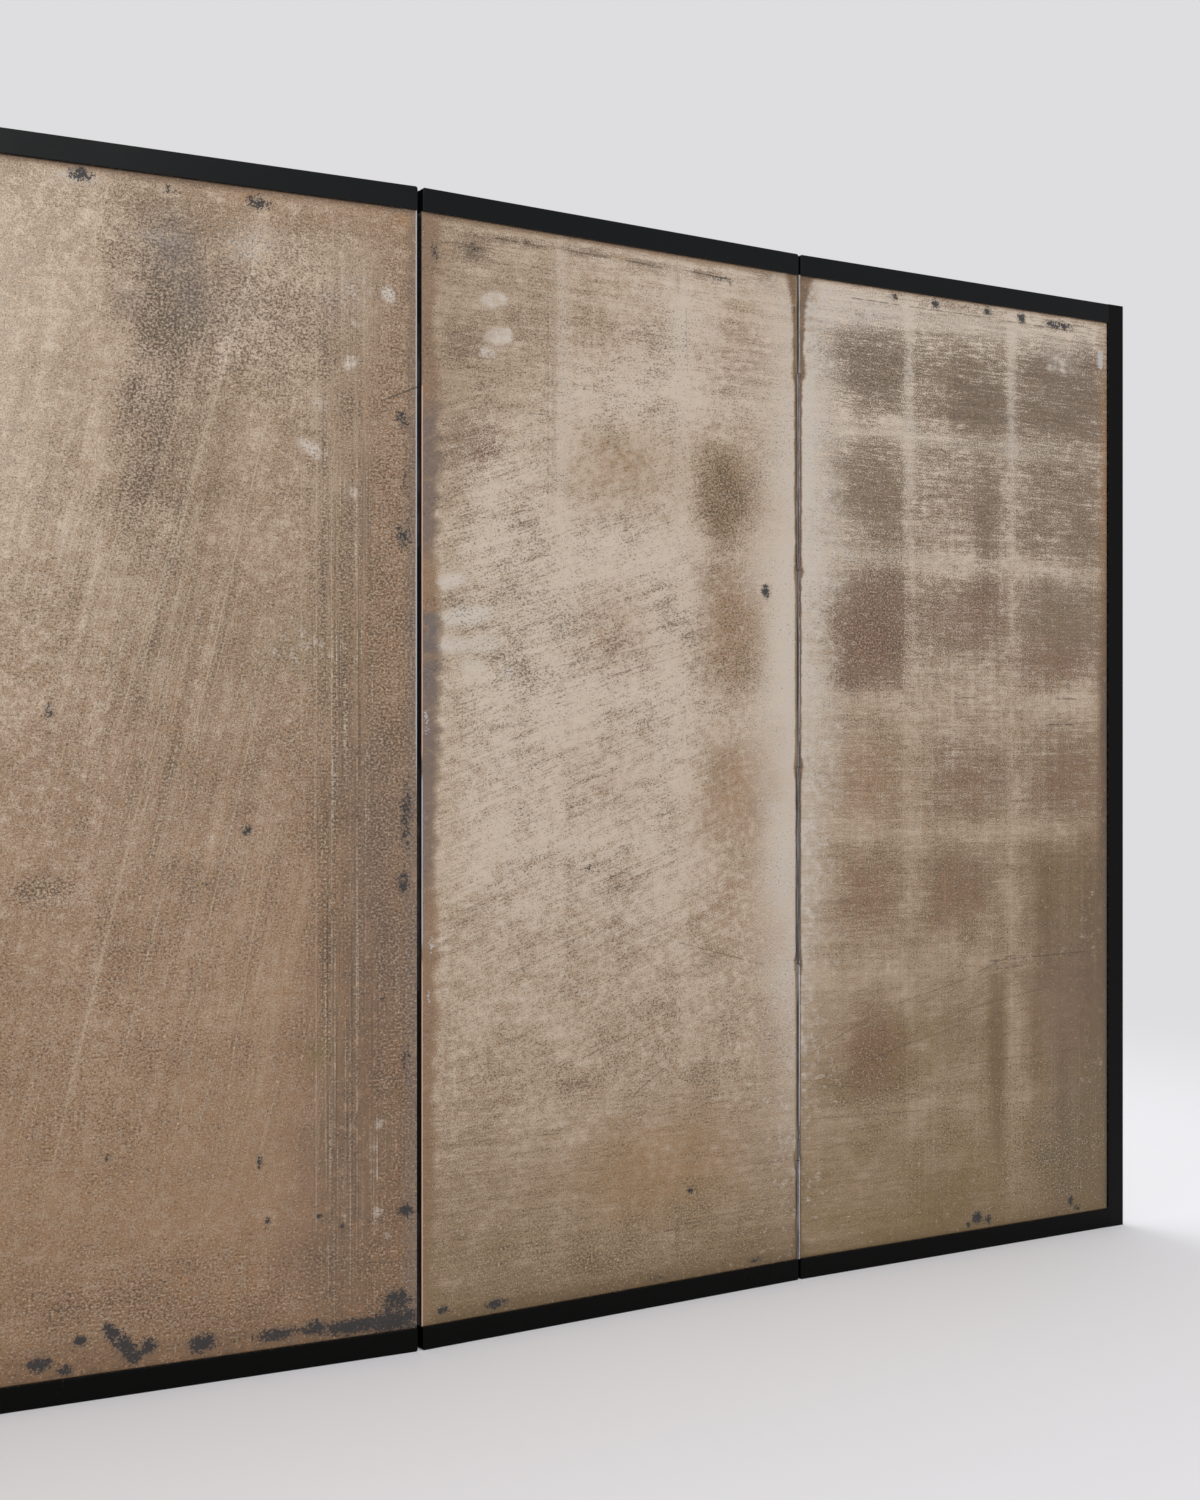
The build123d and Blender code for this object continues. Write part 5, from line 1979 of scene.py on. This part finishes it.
@dataclass(frozen=True)
class Studio:
    """Camera, floor, lamps and surroundings.

    Attributes:
        eye: The camera's place, in metres.
        heading: Its turn from straight ahead, in degrees.
        lens: Its focal length, in millimetres.
        shift: How far its picture is shifted upwards.
        backdrop, floor: Their colours.
        floor_half: Half the floor's width, in metres.
        fade: Distances between which the floor turns into the backdrop, in metres.
        sky: Strength of the surrounding light below the horizon and overhead.
        lamps: What hangs in front of the screen and behind it.
    """

    eye: tuple[float, float, float] = (-0.3756, -1.8919, 0.6229)
    heading: float = -30.457
    lens: float = 47.42
    shift: float = 0.0018
    backdrop: str = "#DEDDDF"
    floor: str = "#F2F2F6"
    floor_half: float = 20.0
    fade: tuple[float, float] = (1.9, 3.6)
    sky: tuple[float, float] = (0.4, 0.85)
    lamps: tuple[Lamp, ...] = (
        Lamp("key", (-0.6, -4.2, 3.0), (0.6, 0, 0.6), (3.6, 2.8), 80.0),
        Lamp("back", (0.6, 4.2, 2.6), (0.0, 0, 0.6), (3.2, 2.2), 70.0),
    )

    @staticmethod
    def seen_plainly(tree: bpy.types.NodeTree) -> bpy.types.NodeSocket:
        """Tell the rays that show a surface from the rays that light others with it.

        Args:
            tree: The nodes of a material or of the surroundings.

        Returns:
            1 for rays from the camera, off a glossy surface and through a clear one.
        """
        path = add(tree, "ShaderNodeLightPath").outputs
        seen = path["Is Camera Ray"]
        for kind in ("Is Glossy Ray", "Is Transmission Ray"):
            seen = add(
                tree, "ShaderNodeMath", {0: seen, 1: path[kind]}, operation="MAXIMUM"
            ).outputs[0]
        return seen

    def add_camera(self) -> None:
        """Set the camera level, a little left of the middle and turned to the right."""
        data = bpy.data.cameras.new("camera")
        data.lens = self.lens
        data.shift_y = self.shift
        camera = bpy.data.objects.new("camera", data)
        camera.location = self.eye
        camera.rotation_euler = (math.radians(90), 0, math.radians(self.heading))
        bpy.context.scene.collection.objects.link(camera)
        bpy.context.scene.camera = camera

    def add_floor(self) -> None:
        """Lay a wide floor, painted matt white, that fades into the backdrop far away."""
        half = self.floor_half
        corners = [(-half, -half, 0), (half, -half, 0), (half, half, 0), (-half, half, 0)]
        mesh = bpy.data.meshes.new("floor")
        mesh.from_pydata(corners, [], [(0, 1, 2, 3)])
        floor = bpy.data.objects.new("floor", mesh)
        bpy.context.scene.collection.objects.link(floor)
        material, tree, shader = new_material("Matt white studio floor")
        shader.inputs["Base Color"].default_value = linear(self.floor)
        shader.inputs["Roughness"].default_value = 0.95
        shader.inputs["Specular IOR Level"].default_value = 0.1
        place = add(tree, "ShaderNodeTexCoord").outputs["Object"]
        apart = add(tree, "ShaderNodeVectorMath", {0: place}, operation="LENGTH").outputs["Value"]
        far = add(
            tree, "ShaderNodeMapRange",
            {"Value": apart, "From Min": self.fade[0], "From Max": self.fade[1]},
            interpolation_type="SMOOTHSTEP",
        ).outputs[0]
        faded = add(
            tree, "ShaderNodeMath", {0: self.seen_plainly(tree), 1: far}, operation="MULTIPLY"
        ).outputs[0]
        plain = add(tree, "ShaderNodeEmission", {"Color": linear(self.backdrop)}).outputs[0]
        mixed = add(
            tree, "ShaderNodeMixShader", {0: faded, 1: shader.outputs[0], 2: plain}
        ).outputs[0]
        tree.links.new(mixed, tree.nodes["Material Output"].inputs["Surface"])
        mesh.materials.append(material)

    def add_surroundings(self) -> None:
        """Surround the screen with soft light from above, and a pale backdrop where seen."""
        world = bpy.data.worlds.new("studio")
        bpy.context.scene.world = world
        world.use_nodes = True
        tree = world.node_tree
        tree.nodes.clear()
        direction = add(tree, "ShaderNodeTexCoord").outputs["Generated"]
        up = add(tree, "ShaderNodeSeparateXYZ", {0: direction}).outputs[2]
        strength = add(
            tree, "ShaderNodeMapRange",
            {"Value": up, "From Min": -0.2, "From Max": 0.9,
             "To Min": self.sky[0], "To Max": self.sky[1]},
        ).outputs[0]
        soft = add(
            tree, "ShaderNodeBackground", {"Color": linear("#FFFFFF"), "Strength": strength}
        ).outputs[0]
        plain = add(tree, "ShaderNodeBackground", {"Color": linear(self.backdrop)}).outputs[0]
        mixed = add(
            tree, "ShaderNodeMixShader", {0: self.seen_plainly(tree), 1: soft, 2: plain}
        ).outputs[0]
        add(tree, "ShaderNodeOutputWorld", {"Surface": mixed})

    def build(self) -> None:
        """Set up the whole studio."""
        self.add_camera()
        for lamp in self.lamps:
            lamp.hang()
        self.add_floor()
        self.add_surroundings()
        bpy.context.scene.view_settings.view_transform = "Standard"
        log.info("studio: camera, two lamps, floor and surroundings")


def main() -> None:
    """Build and dress the screen."""
    logging.basicConfig(level=logging.INFO, format="%(name)s: %(message)s")
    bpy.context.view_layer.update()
    finishes = {
        "silver": SilverLeaf().material(),
        "back": PlainPaper("the plain back of the screen", "#B79F7B", "#957A55").material(),
        "lining": PlainPaper("lining under the sheets", "#C9B896", "#B09A72").material(),
        "cedar": PlanedWood("Cedar, planed", "#8A6745", "#6B4A30", 1.6).material(),
        "bamboo": PlanedWood("Bamboo, split and cut", "#C9AE74", "#A98C55", 0.5).material(),
    }
    # The top rails are a lighter black with more sheen than the bottom rails: painted light, for
    # the brighter room above that they reflect.
    for end, ground, sheen in (("top", "#0D0F10", 0.13), ("bottom", "#050504", 0.08)):
        finish = BlackLacquer(f"{end} rails", f"panel_1_{end}_rail", 2, ground, sheen)
        finishes[f"{end} rail"] = finish.material()
    places = {number: PanelPlace.measured(number) for number in range(1, PANELS + 1)}
    for place in places.values():
        Panel(place, finishes).build()
    for end in ("right", "left"):
        node = f"{end}_stile"
        # The stiles' black is matched to the darker bottom rails: painted shade, as for them.
        finish = BlackLacquer(f"{end} stile", node, 0, "#070706", 0.08)
        dress(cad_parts[node], finish.material())
        log.info("%s stile: lacquered", end)
    PaperHinges(places, HingePaper().material()).build()
    Studio().build()


if __name__ == "__main__":
    main()
